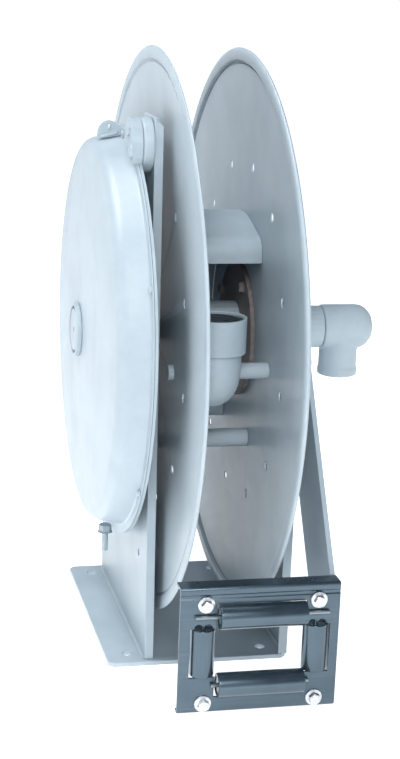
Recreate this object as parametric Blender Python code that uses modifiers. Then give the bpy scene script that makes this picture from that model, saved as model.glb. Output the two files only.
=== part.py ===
"""Spring-rewind fire hose reel: base, two uprights, open drum, spring housing, swivel inlet and roller guide.

Metres, +Z up. X is the drum's axle, with the spring housing at -X and the water inlet at +X. The hose leaves
towards -Y, through the roller guide. The origin is on the floor under the middle of the base plate.
"""

import math

import bmesh
import bpy
from mathutils import Matrix, Vector

# ---------------------------------------------------------------- driving dimensions (metres)

GAP = 0.0003
RUNNING_CLEARANCE = 0.0004
BOLT_CLEARANCE = 0.0005

AXLE_HEIGHT = 0.336

BASE_WIDTH = 0.196
BASE_DEPTH = 0.290
BASE_THICKNESS = 0.005
BASE_CORNER = 0.006
BASE_HOLE_RADIUS = 0.0055
BASE_HOLE_INSET_X = 0.024
BASE_HOLE_INSET_Y = 0.024

DISC_RADIUS = 0.3065
SHEET = 0.0015
DISC_BEND_RADIUS = 0.196
RIM_ROLL_DEPTH = 0.0066
RIM_ROLL_WIDTH = 0.014
RIM_GROOVE = 0.001
DISC_HOLE_RADIUS = 0.005
DISC_HOLE_CIRCLE = 0.185
DISC_HOLE_COUNT = 12
DISC_HOLE_PHASE = 9.5
LEFT_DISC_X = -0.0362
RIGHT_DISC_X = 0.0648
LEFT_DISC_DISH = 0.001
RIGHT_DISC_DISH = 0.0065
DISC_STEPS = 48

DRUM_RADIUS = 0.131
SHELL_FRONT_ANGLE = 15.0
SHELL_BACK_ANGLE = -120.0
SHELL_STEPS = 22
SHELL_LIP_REACH = 0.676 * DRUM_RADIUS
SHELL_LIP_HEIGHT = 0.172 * DRUM_RADIUS
SHELL_LIP_BEND = 0.076 * DRUM_RADIUS

TIE_CIRCLE = 0.124
TIE_ANGLES = (153.0, 209.0)
TIE_TUBE_RADIUS = 0.010
TIE_TUBE_WALL = 0.003
TIE_ROD_RADIUS = 0.005
TIE_NUT_RADIUS = 0.0080
TIE_NUT_HEIGHT = 0.006
BRACE_CIRCLE = 0.132
BRACE_ANGLE = 97.0
BRACE_RADIUS = 0.0085

HUB_RADIUS = 0.030
INLET_SHAFT_RADIUS = 0.020
HUB_BORE_RADIUS = 0.014
HUB_WALL = 0.016
INLET_SHAFT_END = 0.1395
HUB_FLANGE_RADIUS = 0.075
HUB_FLANGE_THICKNESS = 0.005
HUB_BOLT_CIRCLE = 0.063
HUB_BOLT_COUNT = 4
HUB_BOLT_PHASE = 33.0

OUTLET_X = 0.0
OUTLET_REACH = 0.165
OUTLET_DROP = 0.030
OUTLET_HUB_DROP = 0.006
OUTLET_START_Y = -0.018
OUTLET_RADIUS = 0.0265
OUTLET_BEND = 0.027
OUTLET_STEPS = 10
OUTLET_BORE = 0.016
OUTLET_PORT_RADIUS = 0.012
OUTLET_NECK_TOP = AXLE_HEIGHT + 0.0153
COLLAR_BORE = 0.0265
COLLAR_RADIUS = 0.0302
COLLAR_TOP = AXLE_HEIGHT + 0.050
COLLAR_CHAMFER = 0.001
COLLAR_OVERLAP = 0.002

ARBOR_RADIUS = 0.012
ARBOR_END = LEFT_DISC_X - 0.0693
SPOOL_RADIUS = 0.022

LEFT_WEB_X = LEFT_DISC_X - 0.0221
WEB_THICKNESS = 0.003
LEFT_FLANGE_WIDTH = 0.0095
LEFT_FRONT_Y = -0.104
LEFT_FOOT_FRONT_Y = -0.140
LEFT_BACK_Y = 0.141
LEFT_TOP_Z = AXLE_HEIGHT + 0.241
LEFT_TOP_WIDTH = 0.055
LEFT_SHOULDER_REACH = 0.105
LEFT_SHOULDER_DROP = 0.057
LEFT_FLANGE_DROP = 0.008
LEFT_BACK_FLANGE_Z = 0.110
UPRIGHT_SLOT_Z = 0.108
UPRIGHT_SLOT_Y = -0.088
UPRIGHT_SLOT_RADIUS = 0.004

RIGHT_WEB_X = 0.098
RIGHT_FLANGE_WIDTH = 0.0095
RIGHT_FRONT_Z = 0.230
RIGHT_TOP_Z = AXLE_HEIGHT + 0.049
RIGHT_TOP_FRONT_Y = -0.088
RIGHT_TOP_BACK_Y = 0.062
RIGHT_BACK_Y = 0.110

COVER_RADIUS = 0.223
COVER_FLANGE = 0.010
COVER_BACK_X = LEFT_WEB_X - 0.0157
COVER_CREASE_X = COVER_BACK_X - 0.0345
COVER_CREASE_RADIUS = 0.2067
COVER_FACE_X = COVER_CREASE_X - 0.0070
COVER_STEPS = 48
COVER_SCREW_COUNT = 6
COVER_SCREW_PHASE = 7.0
COVER_SCREW_HOLE = 0.0024
BACK_PLATE_THICKNESS = 0.003
PLUG_RADIUS = 0.029
PLUG_HEIGHT = 0.0055

SPRING_STRIP = 0.0016
SPRING_WIDTH = 0.022
SPRING_TURNS = 5
SPRING_OUTER_RADIUS = 0.186

STANDOFF_RADIUS = 0.028
STANDOFF_Y = -0.085
STANDOFF_Z = AXLE_HEIGHT + 0.212
LOBE_THICKNESS = 0.010
LOBE_BOLTS = ((-0.085, AXLE_HEIGHT + 0.2275), (-0.1030, AXLE_HEIGHT + 0.2070))

EAR_X = COVER_BACK_X - 0.0150
EAR_Y = -0.012
EAR_RADIUS = 0.0128
EAR_THICKNESS = 0.005

BEARING_RADIUS = 0.030
BEARING_NECK_RADIUS = 0.019
RIGHT_BEARING_RADIUS = 0.038
RIGHT_BEARING_LENGTH = 0.034
RIGHT_NECK_RADIUS = 0.027

GUIDE_LEFT = -0.050
GUIDE_RIGHT = 0.1148
GUIDE_BOTTOM = 0.001
GUIDE_TOP = 0.135
GUIDE_FRONT_Y = -0.267
GUIDE_THICKNESS = 0.003
GUIDE_FLANGE = 0.019
ROLLER_RADIUS = 0.0125
ROLLER_CLEARANCE = 0.0015
TOP_ROLLER_Z = 0.1045
BOTTOM_ROLLER_Z = 0.0315
LEFT_ROLLER_X = -0.0250
RIGHT_ROLLER_X = 0.0915
ROD_RADIUS = 0.0021
ROD_OVERHANG = 0.0245
SHORT_ROD_OVERHANG = 0.0060
UPRIGHT_ROD_OVERHANG = 0.0057
GUIDE_BOLT_LEFT_INSET = 0.0265
GUIDE_BOLT_RIGHT_INSET = 0.0225
GUIDE_BOLT_TOP_Z = 0.1170
GUIDE_BOLT_BOTTOM_Z = 0.0113
RELIEF_RADIUS = 0.384 * ROLLER_RADIUS
SLOT_TOP_DROP = 0.0130

ARM_X = 0.1085
ARM_THICKNESS = 0.0052
ARM_WIDTH = 0.080
ARM_TOP = (-0.099, AXLE_HEIGHT + 0.024)
ARM_KNEE = (-0.2474, 0.136)
ARM_HEEL = (-0.173, 0.105)
ARM_BOLTS = ((-0.098, AXLE_HEIGHT - 0.018), (-0.076, AXLE_HEIGHT - 0.052))
ARM_BOLT_RADIUS = 0.005
ARM_FOOT = 0.004
ARM_FOOT_WIDTH = 0.017

SWIVEL_RADIUS = 0.025
SWIVEL_START = 0.1590
SWIVEL_CENTRE = 0.182
SWIVEL_END_RADIUS = 0.0235
SWIVEL_LEG_RADIUS = 0.0215
SWIVEL_MOUTH_Z = AXLE_HEIGHT - 0.055
SWIVEL_BORE = 0.015
STUB_RADIUS = 0.0236

RATCHET_RADIUS = 0.050
RATCHET_ROOT = 0.043
RATCHET_TEETH = 12
RATCHET_THICKNESS = 0.005
TOOTH_LEAD = 8.0
PAWL_PIVOT = (-0.072, AXLE_HEIGHT - 0.030)
PAWL_TIP = (-0.0535, AXLE_HEIGHT + 0.009)
PAWL_NECK_WIDTH = 0.0036
PAWL_TIP_WIDTH = 0.003
PAWL_PIN_RADIUS = 0.004
PAWL_THROW = 9.0

ANCHOR_BOLT_X = COVER_BACK_X - 0.0060
ANCHOR_BOLT_STANDOFF = 0.004

# Hexagon bolts: width across flats, head, washer radius, washer, shank radius, shank length.
HUB_BOLT = (0.010, 0.005, 0.0065, 0.001, 0.003, 0.012)
LOBE_BOLT = (0.013, 0.0075, 0.0088, 0.0015, 0.004, 0.018)
ANCHOR_BOLT = (0.013, 0.008, 0.0085, 0.001, 0.0036, 0.022)
GUIDE_BOLT = (0.0105, 0.0062, 0.0087, 0.0018, 0.004, 0.0125)
HUB_BOLT_RADIUS = HUB_BOLT[4]
LOBE_BOLT_RADIUS = LOBE_BOLT[4]
GUIDE_BOLT_RADIUS = GUIDE_BOLT[4]

# Half the length of a drill that only has to pass through one sheet.
DRILL = 0.02

# ---------------------------------------------------------------- axes: where local Z of a piece points

ALONG_X = Matrix(((0, 0, 1), (1, 0, 0), (0, 1, 0)))
ALONG_Y = Matrix(((1, 0, 0), (0, 0, -1), (0, 1, 0)))
ALONG_Z = Matrix.Identity(3)
TOWARD_MINUS_X = Matrix(((0, 0, -1), (0, 1, 0), (1, 0, 0)))

AXLE = Vector((0, 0, AXLE_HEIGHT))


# ---------------------------------------------------------------- scene, materials and small tools


def clear_scene():
    """Remove every object and leave empty collections for the parts and the cutters."""
    for obj in list(bpy.data.objects):
        bpy.data.objects.remove(obj, do_unlink=True)
    parts = bpy.data.collections.new("fire_hose_reel")
    cutters = bpy.data.collections.new("cutters")
    bpy.context.scene.collection.children.link(parts)
    bpy.context.scene.collection.children.link(cutters)
    return parts, cutters


PARTS, CUTTERS = clear_scene()


def material(name, colour, roughness, metallic=0.0):
    """Return a Principled material."""
    mat = bpy.data.materials.new(name)
    mat.use_nodes = True
    shader = mat.node_tree.nodes["Principled BSDF"]
    shader.inputs["Base Color"].default_value = (*colour, 1.0)
    shader.inputs["Roughness"].default_value = roughness
    shader.inputs["Metallic"].default_value = metallic
    return mat


PAINT = (0.60, 0.66, 0.70)
DARK_STEEL = (0.19, 0.22, 0.26)
ZINC = (0.74, 0.74, 0.72)
BRIGHT_STEEL = (0.62, 0.63, 0.64)


def painted(name):
    return material(name + "_paint", PAINT, 0.42)


def dark_steel(name):
    return material(name + "_steel", DARK_STEEL, 0.35, 0.6)


def zinc(name):
    return material(name + "_zinc", ZINC, 0.28, 1.0)


def bright(name):
    return material(name + "_bright", BRIGHT_STEEL, 0.3, 1.0)


def place(obj, location, turn):
    """Put an object at a location with its local axes along the columns of a turn matrix."""
    obj.location = location
    obj.rotation_euler = turn.to_euler()
    return obj


def add_object(name, mesh, mat, location=(0, 0, 0), turn=ALONG_Z, collection=None):
    """Link a mesh as a named object with its own material."""
    obj = bpy.data.objects.new(name, mesh)
    (collection or PARTS).objects.link(obj)
    if mat is not None:
        mesh.materials.clear()
        mesh.materials.append(mat)
    return place(obj, location, turn)


def baked(obj):
    """Apply an object's modifiers to a fresh mesh, in the object's own space."""
    bpy.context.view_layer.update()
    graph = bpy.context.evaluated_depsgraph_get()
    mesh = bpy.data.meshes.new_from_object(obj.evaluated_get(graph))
    welder = bmesh.new()
    welder.from_mesh(mesh)
    bmesh.ops.remove_doubles(welder, verts=welder.verts, dist=0.000001)
    welder.to_mesh(mesh)
    welder.free()
    return mesh


def turned(name, profile, mat, location, turn=ALONG_X, steps=24, closed=False, collection=None):
    """Spin a profile of (radius, height) points about local Z."""
    shape = bmesh.new()
    verts = [shape.verts.new((radius, 0, height)) for radius, height in profile]
    for first, second in zip(verts, verts[1:]):
        shape.edges.new((first, second))
    if closed:
        shape.edges.new((verts[-1], verts[0]))
    mesh = bpy.data.meshes.new(name)
    shape.to_mesh(mesh)
    shape.free()
    obj = add_object(name, mesh, mat, location, turn, collection)
    screw = obj.modifiers.new("Turn", "SCREW")
    screw.steps = steps
    screw.render_steps = steps
    screw.use_merge_vertices = True
    screw.merge_threshold = 0.00001
    screw.use_smooth_shade = True
    return obj


def rod(name, radius, start, end, mat, location, turn=ALONG_X, steps=20, collection=None):
    """A solid cylinder from start to end along local Z."""
    profile = [(0, end), (radius, end), (radius, start), (0, start)]
    return turned(name, profile, mat, location, turn, steps, collection=collection)


def ring(name, outer, inner, start, end, mat, location, turn=ALONG_X, steps=24, collection=None):
    """A tube from start to end along local Z."""
    profile = [(inner, end), (outer, end), (outer, start), (inner, start)]
    return turned(name, profile, mat, location, turn, steps, closed=True, collection=collection)


def circle(centre, radius, points=16, phase=0.0):
    """The corners of a round hole in a flat outline."""
    angles = [2 * math.pi * (i + phase) / points for i in range(points)]
    return [(centre[0] + radius * math.cos(a), centre[1] + radius * math.sin(a)) for a in angles]


def flat(name, outline, holes, thickness, mat, location, turn=ALONG_Z, collection=None):
    """A flat outline with holes, as thick as stated, growing along local Z from its location."""
    curve = bpy.data.curves.new(name, "CURVE")
    curve.dimensions = "2D"
    curve.fill_mode = "BOTH"
    curve.extrude = thickness / 2
    curve.render_resolution_u = 0
    for loop in [outline, *holes]:
        spline = curve.splines.new("POLY")
        spline.points.add(len(loop) - 1)
        for point, (x, y) in zip(spline.points, loop):
            point.co = (x, y, 0, 1)
        spline.use_cyclic_u = True
    source = bpy.data.objects.new(name + "_outline", curve)
    CUTTERS.objects.link(source)
    mesh = baked(source)
    bpy.data.objects.remove(source, do_unlink=True)
    mesh.transform(Matrix.Translation((0, 0, thickness / 2)))
    mesh.name = name
    return add_object(name, mesh, mat, location, turn, collection)


def hide_cutter(obj):
    """Keep a cutting solid out of the model."""
    obj.hide_render = True
    obj.display_type = "WIRE"
    return obj


def boolean(target, operation, tool):
    """Combine a cutter with a target, with the exact solver."""
    hide_cutter(tool)
    modifier = target.modifiers.new(operation.title(), "BOOLEAN")
    modifier.operation = operation
    modifier.solver = "EXACT"
    modifier.object = tool
    return target


def smooth(obj, angle=35):
    """Shade a plain mesh smooth, with sharp edges where it turns tightly."""
    obj.data.shade_smooth()
    obj.data.set_sharp_from_angle(angle=math.radians(angle))
    return obj


def polar(radius, degrees):
    """(Y, Z) of a point at a radius from the axle, with the angle counted from the top towards the front."""
    angle = math.radians(degrees)
    return -radius * math.sin(angle), AXLE_HEIGHT + radius * math.cos(angle)


def hex_bolt_mesh(name, size):
    """A hexagon bolt whose washer seats at local Z = 0, with its head up and its shank down."""
    across, head, washer_radius, washer, shank_radius, shank = size
    profile = [(0, washer), (washer_radius * 0.85, washer), (washer_radius, washer * 0.5), (washer_radius, 0)]
    profile += [(shank_radius, 0), (shank_radius, -shank)]
    profile += [(0, -shank)]
    body = turned(name + "_body", profile, None, (0, 0, 0), ALONG_Z, 12, collection=CUTTERS)
    hexagon = circle((0, 0), across / math.sqrt(3), 6)
    cap = flat(name + "_hexagon", hexagon, [], head, None, (0, 0, washer * 0.6), ALONG_Z, CUTTERS)
    boolean(body, "UNION", cap)
    mesh = baked(body)
    for obj in (body, cap):
        bpy.data.objects.remove(obj, do_unlink=True)
    mesh.name = name
    return mesh


def folded(name, corners, faces, thickness, mat):
    """A folded sheet: flat faces that share edges, thickened away from their normals."""
    shape = bmesh.new()
    verts = [shape.verts.new(corner) for corner in corners]
    for face in faces:
        shape.faces.new([verts[i] for i in face])
    mesh = bpy.data.meshes.new(name)
    shape.to_mesh(mesh)
    shape.free()
    obj = add_object(name, mesh, mat)
    shell = obj.modifiers.new("Sheet", "SOLIDIFY")
    shell.thickness = thickness
    shell.offset = -1
    shell.use_even_offset = True
    return obj


def through_hole(target, name, radius, start, end, location, turn=ALONG_X, steps=24):
    """Drill a round hole through a target."""
    cutter = rod(name, radius, start, end, None, location, turn, steps, CUTTERS)
    return boolean(target, "DIFFERENCE", cutter)


# ---------------------------------------------------------------- base and uprights


def base_plate():
    """Flat base with cut corners and four mounting holes."""
    x = BASE_WIDTH / 2
    y = BASE_DEPTH / 2
    c = BASE_CORNER
    outline = [(-x + c, -y), (x - c, -y), (x, -y + c), (x, y - c)]
    outline += [(-a, -b) for a, b in outline]
    hole_x = x - BASE_HOLE_INSET_X
    hole_y = y - BASE_HOLE_INSET_Y
    holes = [circle((sx * hole_x, sy * hole_y), BASE_HOLE_RADIUS) for sx in (-1, 1) for sy in (-1, 1)]
    flat("base_plate", outline, holes, BASE_THICKNESS, painted("base_plate"), (0, 0, 0))


def left_upright():
    """Folded upright behind the spring housing: a tapering web with a front and a short back flange."""
    x = LEFT_WEB_X
    flange = x + LEFT_FLANGE_WIDTH
    low = BASE_THICKNESS + GAP
    back_top = LEFT_FRONT_Y + LEFT_TOP_WIDTH
    shoulder_y = back_top + LEFT_SHOULDER_REACH
    corners = [
        (x, LEFT_FOOT_FRONT_Y, low),
        (x, LEFT_BACK_Y, low),
        (x, LEFT_BACK_Y, LEFT_BACK_FLANGE_Z),
        (x, shoulder_y, LEFT_TOP_Z - LEFT_SHOULDER_DROP),
        (x, back_top, LEFT_TOP_Z),
        (x, LEFT_FRONT_Y, LEFT_TOP_Z),
        (flange, LEFT_FOOT_FRONT_Y, low),
        (flange, LEFT_FRONT_Y, LEFT_TOP_Z - LEFT_FLANGE_DROP),
        (flange, LEFT_BACK_Y, low),
        (flange, LEFT_BACK_Y, LEFT_BACK_FLANGE_Z),
    ]
    faces = [(0, 5, 4, 3, 2, 1), (0, 6, 7, 5), (1, 2, 9, 8)]
    upright = folded("left_upright", corners, faces, WEB_THICKNESS, painted("left_upright"))
    hole_radius = BEARING_NECK_RADIUS + GAP
    through_hole(upright, "left_web_bore", hole_radius, -DRILL, DRILL, AXLE + Vector((x, 0, 0)), steps=32)
    pivot = Vector((x, *PAWL_PIVOT))
    through_hole(upright, "pawl_pin_bore", PAWL_PIN_RADIUS + GAP, -DRILL, DRILL, pivot)
    slot = (x, UPRIGHT_SLOT_Y, UPRIGHT_SLOT_Z)
    through_hole(upright, "upright_slot", UPRIGHT_SLOT_RADIUS, -DRILL, DRILL, slot, steps=12)
    return upright


def right_upright():
    """Folded upright on the inlet side: a wide web with a front flange, standing at the base's edge."""
    x = RIGHT_WEB_X
    front = -BASE_DEPTH / 2
    flange = x - RIGHT_FLANGE_WIDTH
    low = BASE_THICKNESS + GAP
    corners = [
        (x, front, low),
        (x, RIGHT_BACK_Y, low),
        (x, RIGHT_TOP_BACK_Y, RIGHT_TOP_Z),
        (x, RIGHT_TOP_FRONT_Y, RIGHT_TOP_Z),
        (x, front, RIGHT_FRONT_Z),
        (flange, front, low),
        (flange, front, RIGHT_FRONT_Z),
    ]
    faces = [(0, 1, 2, 3, 4), (0, 4, 6, 5)]
    upright = folded("right_upright", corners, faces, WEB_THICKNESS, painted("right_upright"))
    hole_radius = RIGHT_NECK_RADIUS + GAP
    through_hole(upright, "right_web_bore", hole_radius, -DRILL, DRILL, AXLE + Vector((x, 0, 0)), steps=32)
    for number, (y, z) in enumerate(ARM_BOLTS, 1):
        radius = ARM_BOLT_RADIUS + BOLT_CLEARANCE
        through_hole(upright, f"upright_bolt_hole_{number}", radius, -DRILL, DRILL, (x, y, z), steps=16)
    return upright


# ---------------------------------------------------------------- bearings


def left_bearing():
    """Flanged bushing that carries the arbor, between the housing's back plate and the left web."""
    start = COVER_BACK_X + BACK_PLATE_THICKNESS + GAP
    seat = LEFT_WEB_X - GAP
    end = LEFT_WEB_X + WEB_THICKNESS + 0.0012
    bore = ARBOR_RADIUS + RUNNING_CLEARANCE
    profile = [(bore, end), (BEARING_NECK_RADIUS, end), (BEARING_NECK_RADIUS, seat), (BEARING_RADIUS, seat)]
    profile += [(BEARING_RADIUS, start), (bore, start)]
    turned("left_bearing", profile, painted("left_bearing"), AXLE, closed=True)


def right_bearing():
    """Flanged housing that carries the inlet shaft on the right web."""
    start = RIGHT_WEB_X - WEB_THICKNESS - 0.002
    seat = RIGHT_WEB_X + GAP
    end = RIGHT_WEB_X + RIGHT_BEARING_LENGTH
    bore = INLET_SHAFT_RADIUS + RUNNING_CLEARANCE
    profile = [(bore, end), (RIGHT_NECK_RADIUS + 0.002, end), (RIGHT_NECK_RADIUS + 0.003, seat + 0.008)]
    profile += [(RIGHT_BEARING_RADIUS, seat + 0.006), (RIGHT_BEARING_RADIUS, seat)]
    profile += [(RIGHT_NECK_RADIUS, seat), (RIGHT_NECK_RADIUS, start), (bore, start)]
    turned("right_bearing", profile, painted("right_bearing"), AXLE, closed=True)


# ---------------------------------------------------------------- drum


def drum_axis():
    """The empty on the axle that everything on the drum hangs from."""
    empty = bpy.data.objects.new("drum_axis", None)
    PARTS.objects.link(empty)
    empty.location = AXLE
    bpy.context.view_layer.update()
    return empty


def hang(empty, *objects):
    """Parent objects to an empty without moving them."""
    bpy.context.view_layer.update()
    for obj in objects:
        obj.parent = empty
        obj.matrix_parent_inverse = empty.matrix_world.inverted()


def disc(name, plate_x, dish, bore):
    """Reel side: a flat centre, a coned band outside the bend and a rolled rim on the -X side."""
    rim_x = plate_x - dish
    inner_rim = DISC_RADIUS - RIM_ROLL_WIDTH
    high = rim_x + SHEET
    half = RIM_ROLL_DEPTH / 2
    bulge = RIM_ROLL_WIDTH / 2
    profile = [(bore, plate_x + SHEET), (DISC_BEND_RADIUS, plate_x + SHEET)]
    for i in range(6):
        angle = math.radians(90 - 180 * i / 5)
        profile.append((DISC_RADIUS - bulge + bulge * math.cos(angle), high - half + half * math.sin(angle)))
    profile += [(inner_rim + 0.002, high - 2 * half + 0.0004), (inner_rim, high - 2 * half + 0.0018)]
    profile += [(inner_rim, rim_x - RIM_GROOVE), (inner_rim + 0.004, rim_x - RIM_GROOVE)]
    profile += [(inner_rim + 0.004, rim_x), (DISC_BEND_RADIUS, plate_x), (bore, plate_x)]
    body = turned(name, profile, painted(name), AXLE, steps=DISC_STEPS, closed=True)
    for number in range(DISC_HOLE_COUNT):
        y, z = polar(DISC_HOLE_CIRCLE, DISC_HOLE_PHASE + number * 360 / DISC_HOLE_COUNT)
        through_hole(body, f"{name}_hole_{number}", DISC_HOLE_RADIUS, -DRILL, DRILL, (plate_x, y, z), steps=8)
    radius = TIE_ROD_RADIUS + BOLT_CLEARANCE
    for number, (y, z) in enumerate([*tie_places(), polar(BRACE_CIRCLE, BRACE_ANGLE)], 1):
        through_hole(body, f"{name}_tie_hole_{number}", radius, -DRILL, DRILL, (plate_x, y, z), steps=12)
    return body


def discs():
    """Both reel sides. The right one also takes the hub flange's bolts."""
    left = disc("left_disc", LEFT_DISC_X, LEFT_DISC_DISH, ARBOR_RADIUS + GAP)
    right = disc("right_disc", RIGHT_DISC_X, RIGHT_DISC_DISH, INLET_SHAFT_RADIUS + GAP)
    for number in range(HUB_BOLT_COUNT):
        where = (RIGHT_DISC_X, *hub_bolt_place(number))
        radius = HUB_BOLT_RADIUS + BOLT_CLEARANCE
        through_hole(right, f"right_disc_bolt_{number}", radius, -DRILL, DRILL, where, steps=12)
    return left, right


def shell_path():
    """(Y, Z) from the axle along the drum sheet: up its front lip, over the top and down the back."""
    slope = math.radians(SHELL_FRONT_ANGLE)
    ahead = Vector((-math.cos(slope), -math.sin(slope)))
    leave = Vector((-DRUM_RADIUS * math.sin(slope), DRUM_RADIUS * math.cos(slope)))
    corner = leave + ahead * (SHELL_LIP_REACH + leave.x) / math.cos(slope)
    low = corner - Vector((0, SHELL_LIP_BEND))
    back = corner - ahead * SHELL_LIP_BEND
    path = [corner - Vector((0, SHELL_LIP_HEIGHT))]
    for i in range(7):
        t = i / 6
        path.append(low * (1 - t) ** 2 + corner * 2 * t * (1 - t) + back * t * t)
    for i in range(SHELL_STEPS + 1):
        angle = slope + math.radians(SHELL_BACK_ANGLE - SHELL_FRONT_ANGLE) * i / SHELL_STEPS
        path.append(Vector((-DRUM_RADIUS * math.sin(angle), DRUM_RADIUS * math.cos(angle))))
    return path


def drum_shell():
    """Drum sheet with a turned-down front lip, open at the front and below for the outlet."""
    start = LEFT_DISC_X + SHEET + GAP
    end = RIGHT_DISC_X - GAP
    path = shell_path()
    outer = [tuple(point) for point in path]
    inner = []
    for i, point in enumerate(path):
        along = (path[min(i + 1, len(path) - 1)] - path[max(i - 1, 0)]).normalized()
        inner.append((point.x + along.y * SHEET, point.y - along.x * SHEET))
    shell = flat("drum_shell", outer + inner[::-1], [], end - start, painted("drum_shell"),
                 AXLE + Vector((start, 0, 0)), ALONG_X)
    return smooth(shell, 40)


def tie_places():
    return [polar(TIE_CIRCLE, angle) for angle in TIE_ANGLES]


def nut_end(seat, away):
    """Profile of a rod's nut from the rod's end to its shank, seated at a height and facing away from it."""
    tip = seat + away * TIE_NUT_HEIGHT
    return [(0, tip), (TIE_NUT_RADIUS, tip), (TIE_NUT_RADIUS, seat), (TIE_ROD_RADIUS, seat)]


def tie_tubes():
    """Spacer tubes that hold the discs apart, each with a rod that is nutted at both ends."""
    made = []
    start = LEFT_DISC_X + SHEET + GAP
    end = RIGHT_DISC_X - GAP
    for number, (y, z) in enumerate(tie_places(), 1):
        inner = TIE_TUBE_RADIUS - TIE_TUBE_WALL
        name = f"tie_tube_{number}"
        made.append(ring(name, TIE_TUBE_RADIUS, inner, start, end, painted(name), (0, y, z), steps=20))
        name = f"tie_rod_{number}"
        right = nut_end(RIGHT_DISC_X + SHEET + GAP, 1)
        left = nut_end(LEFT_DISC_X - GAP, -1)
        made.append(turned(name, right + left[::-1], painted(name), (0, y, z), steps=12))
    return made


def outlet_braces():
    """Short studs from both discs that steady the outlet elbow between them, nutted outside."""
    made = []
    where = (0, *polar(BRACE_CIRCLE, BRACE_ANGLE))
    sides = (
        ("right", OUTLET_X + OUTLET_RADIUS + GAP, RIGHT_DISC_X - GAP, RIGHT_DISC_X + SHEET + GAP, 1),
        ("left", OUTLET_X - OUTLET_RADIUS - GAP, LEFT_DISC_X + SHEET + GAP, LEFT_DISC_X - GAP, -1),
    )
    for side, tip, shoulder, seat, away in sides:
        name = f"outlet_brace_{side}"
        stud = [(TIE_ROD_RADIUS, shoulder), (BRACE_RADIUS, shoulder), (BRACE_RADIUS, tip), (0, tip)]
        made.append(turned(name, (nut_end(seat, away) + stud)[::away], painted(name), where, steps=20))
    return made


def hub_tube():
    """Hollow hub: a thick drum between the discs and the inlet shaft out to the swivel, with a side port."""
    start = LEFT_DISC_X + SHEET + GAP
    shoulder = RIGHT_DISC_X - GAP
    floor = start + HUB_WALL
    profile = [(HUB_BORE_RADIUS, INLET_SHAFT_END), (INLET_SHAFT_RADIUS, INLET_SHAFT_END)]
    profile += [(INLET_SHAFT_RADIUS, shoulder), (HUB_RADIUS, shoulder), (HUB_RADIUS, start), (0, start)]
    body = turned("hub_tube", [(0, floor), (HUB_BORE_RADIUS, floor), *profile], painted("hub_tube"), AXLE)
    port = (OUTLET_X, 0, AXLE_HEIGHT - OUTLET_HUB_DROP)
    through_hole(body, "hub_port", OUTLET_PORT_RADIUS, 0, 2 * HUB_RADIUS, port, ALONG_Y, 20)
    return body


def hub_bolt_place(number):
    return polar(HUB_BOLT_CIRCLE, HUB_BOLT_PHASE + number * 360 / HUB_BOLT_COUNT)


def hub_flange():
    """Ring bolted to the right disc's inner face around the hub."""
    end = RIGHT_DISC_X - GAP
    start = end - HUB_FLANGE_THICKNESS
    body = ring("hub_flange", HUB_FLANGE_RADIUS, HUB_RADIUS + GAP, start, end, painted("hub_flange"), AXLE)
    mesh = hex_bolt_mesh("hub_bolt", HUB_BOLT)
    mesh.materials.append(zinc("hub_bolt"))
    made = [body]
    for number in range(HUB_BOLT_COUNT):
        y, z = hub_bolt_place(number)
        radius = HUB_BOLT_RADIUS + BOLT_CLEARANCE
        through_hole(body, f"flange_hole_{number}", radius, -DRILL, DRILL, (start, y, z), steps=12)
        seat = Vector((start - GAP, y, z))
        made.append(add_object(f"hub_bolt_{number + 1}", mesh, None, seat, TOWARD_MINUS_X))
    return made


def outlet_path(extra):
    """Centre line of the elbow in the YZ plane, run on past both ends by an extra length."""
    hub = Vector((OUTLET_START_Y, AXLE_HEIGHT - OUTLET_HUB_DROP))
    corner = Vector((-OUTLET_REACH, AXLE_HEIGHT - OUTLET_DROP))
    back = (hub - corner).normalized()
    bend_start = corner + back * OUTLET_BEND
    bend_end = corner + Vector((0, OUTLET_BEND))
    points = [hub + back * extra]
    for i in range(OUTLET_STEPS + 1):
        t = i / OUTLET_STEPS
        points.append(bend_start * (1 - t) ** 2 + corner * 2 * t * (1 - t) + bend_end * t ** 2)
    return [*points, Vector((-OUTLET_REACH, OUTLET_NECK_TOP + extra))]


def outlet_elbow():
    """Elbow that leads water from the hub's front forward and up to the hose collar."""
    name = "outlet_elbow"
    bend = pipe(name, outlet_path(0), OUTLET_RADIUS, painted(name), PARTS)
    half = 2 * OUTLET_RADIUS
    hub = (OUTLET_X, 0, AXLE_HEIGHT)
    saddle = rod("outlet_saddle", HUB_RADIUS + GAP, -half, half, None, hub, ALONG_X, 48, CUTTERS)
    boolean(bend, "DIFFERENCE", saddle)
    boolean(bend, "DIFFERENCE", pipe("outlet_bore", outlet_path(0.01), OUTLET_BORE, None, CUTTERS))
    return bend


def pipe(name, points, radius, mat, collection):
    """A round bar along (Y, Z) points at the outlet's X, as a closed mesh."""
    curve = bpy.data.curves.new(name, "CURVE")
    curve.dimensions = "3D"
    curve.bevel_depth = radius
    curve.bevel_resolution = 4
    curve.use_fill_caps = True
    curve.render_resolution_u = 0
    spline = curve.splines.new("POLY")
    spline.points.add(len(points) - 1)
    for point, (y, z) in zip(spline.points, points):
        point.co = (OUTLET_X, y, z, 1)
    source = bpy.data.objects.new(name + "_line", curve)
    CUTTERS.objects.link(source)
    mesh = baked(source)
    bpy.data.objects.remove(source, do_unlink=True)
    return add_object(name, mesh, mat, collection=collection)


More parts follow.
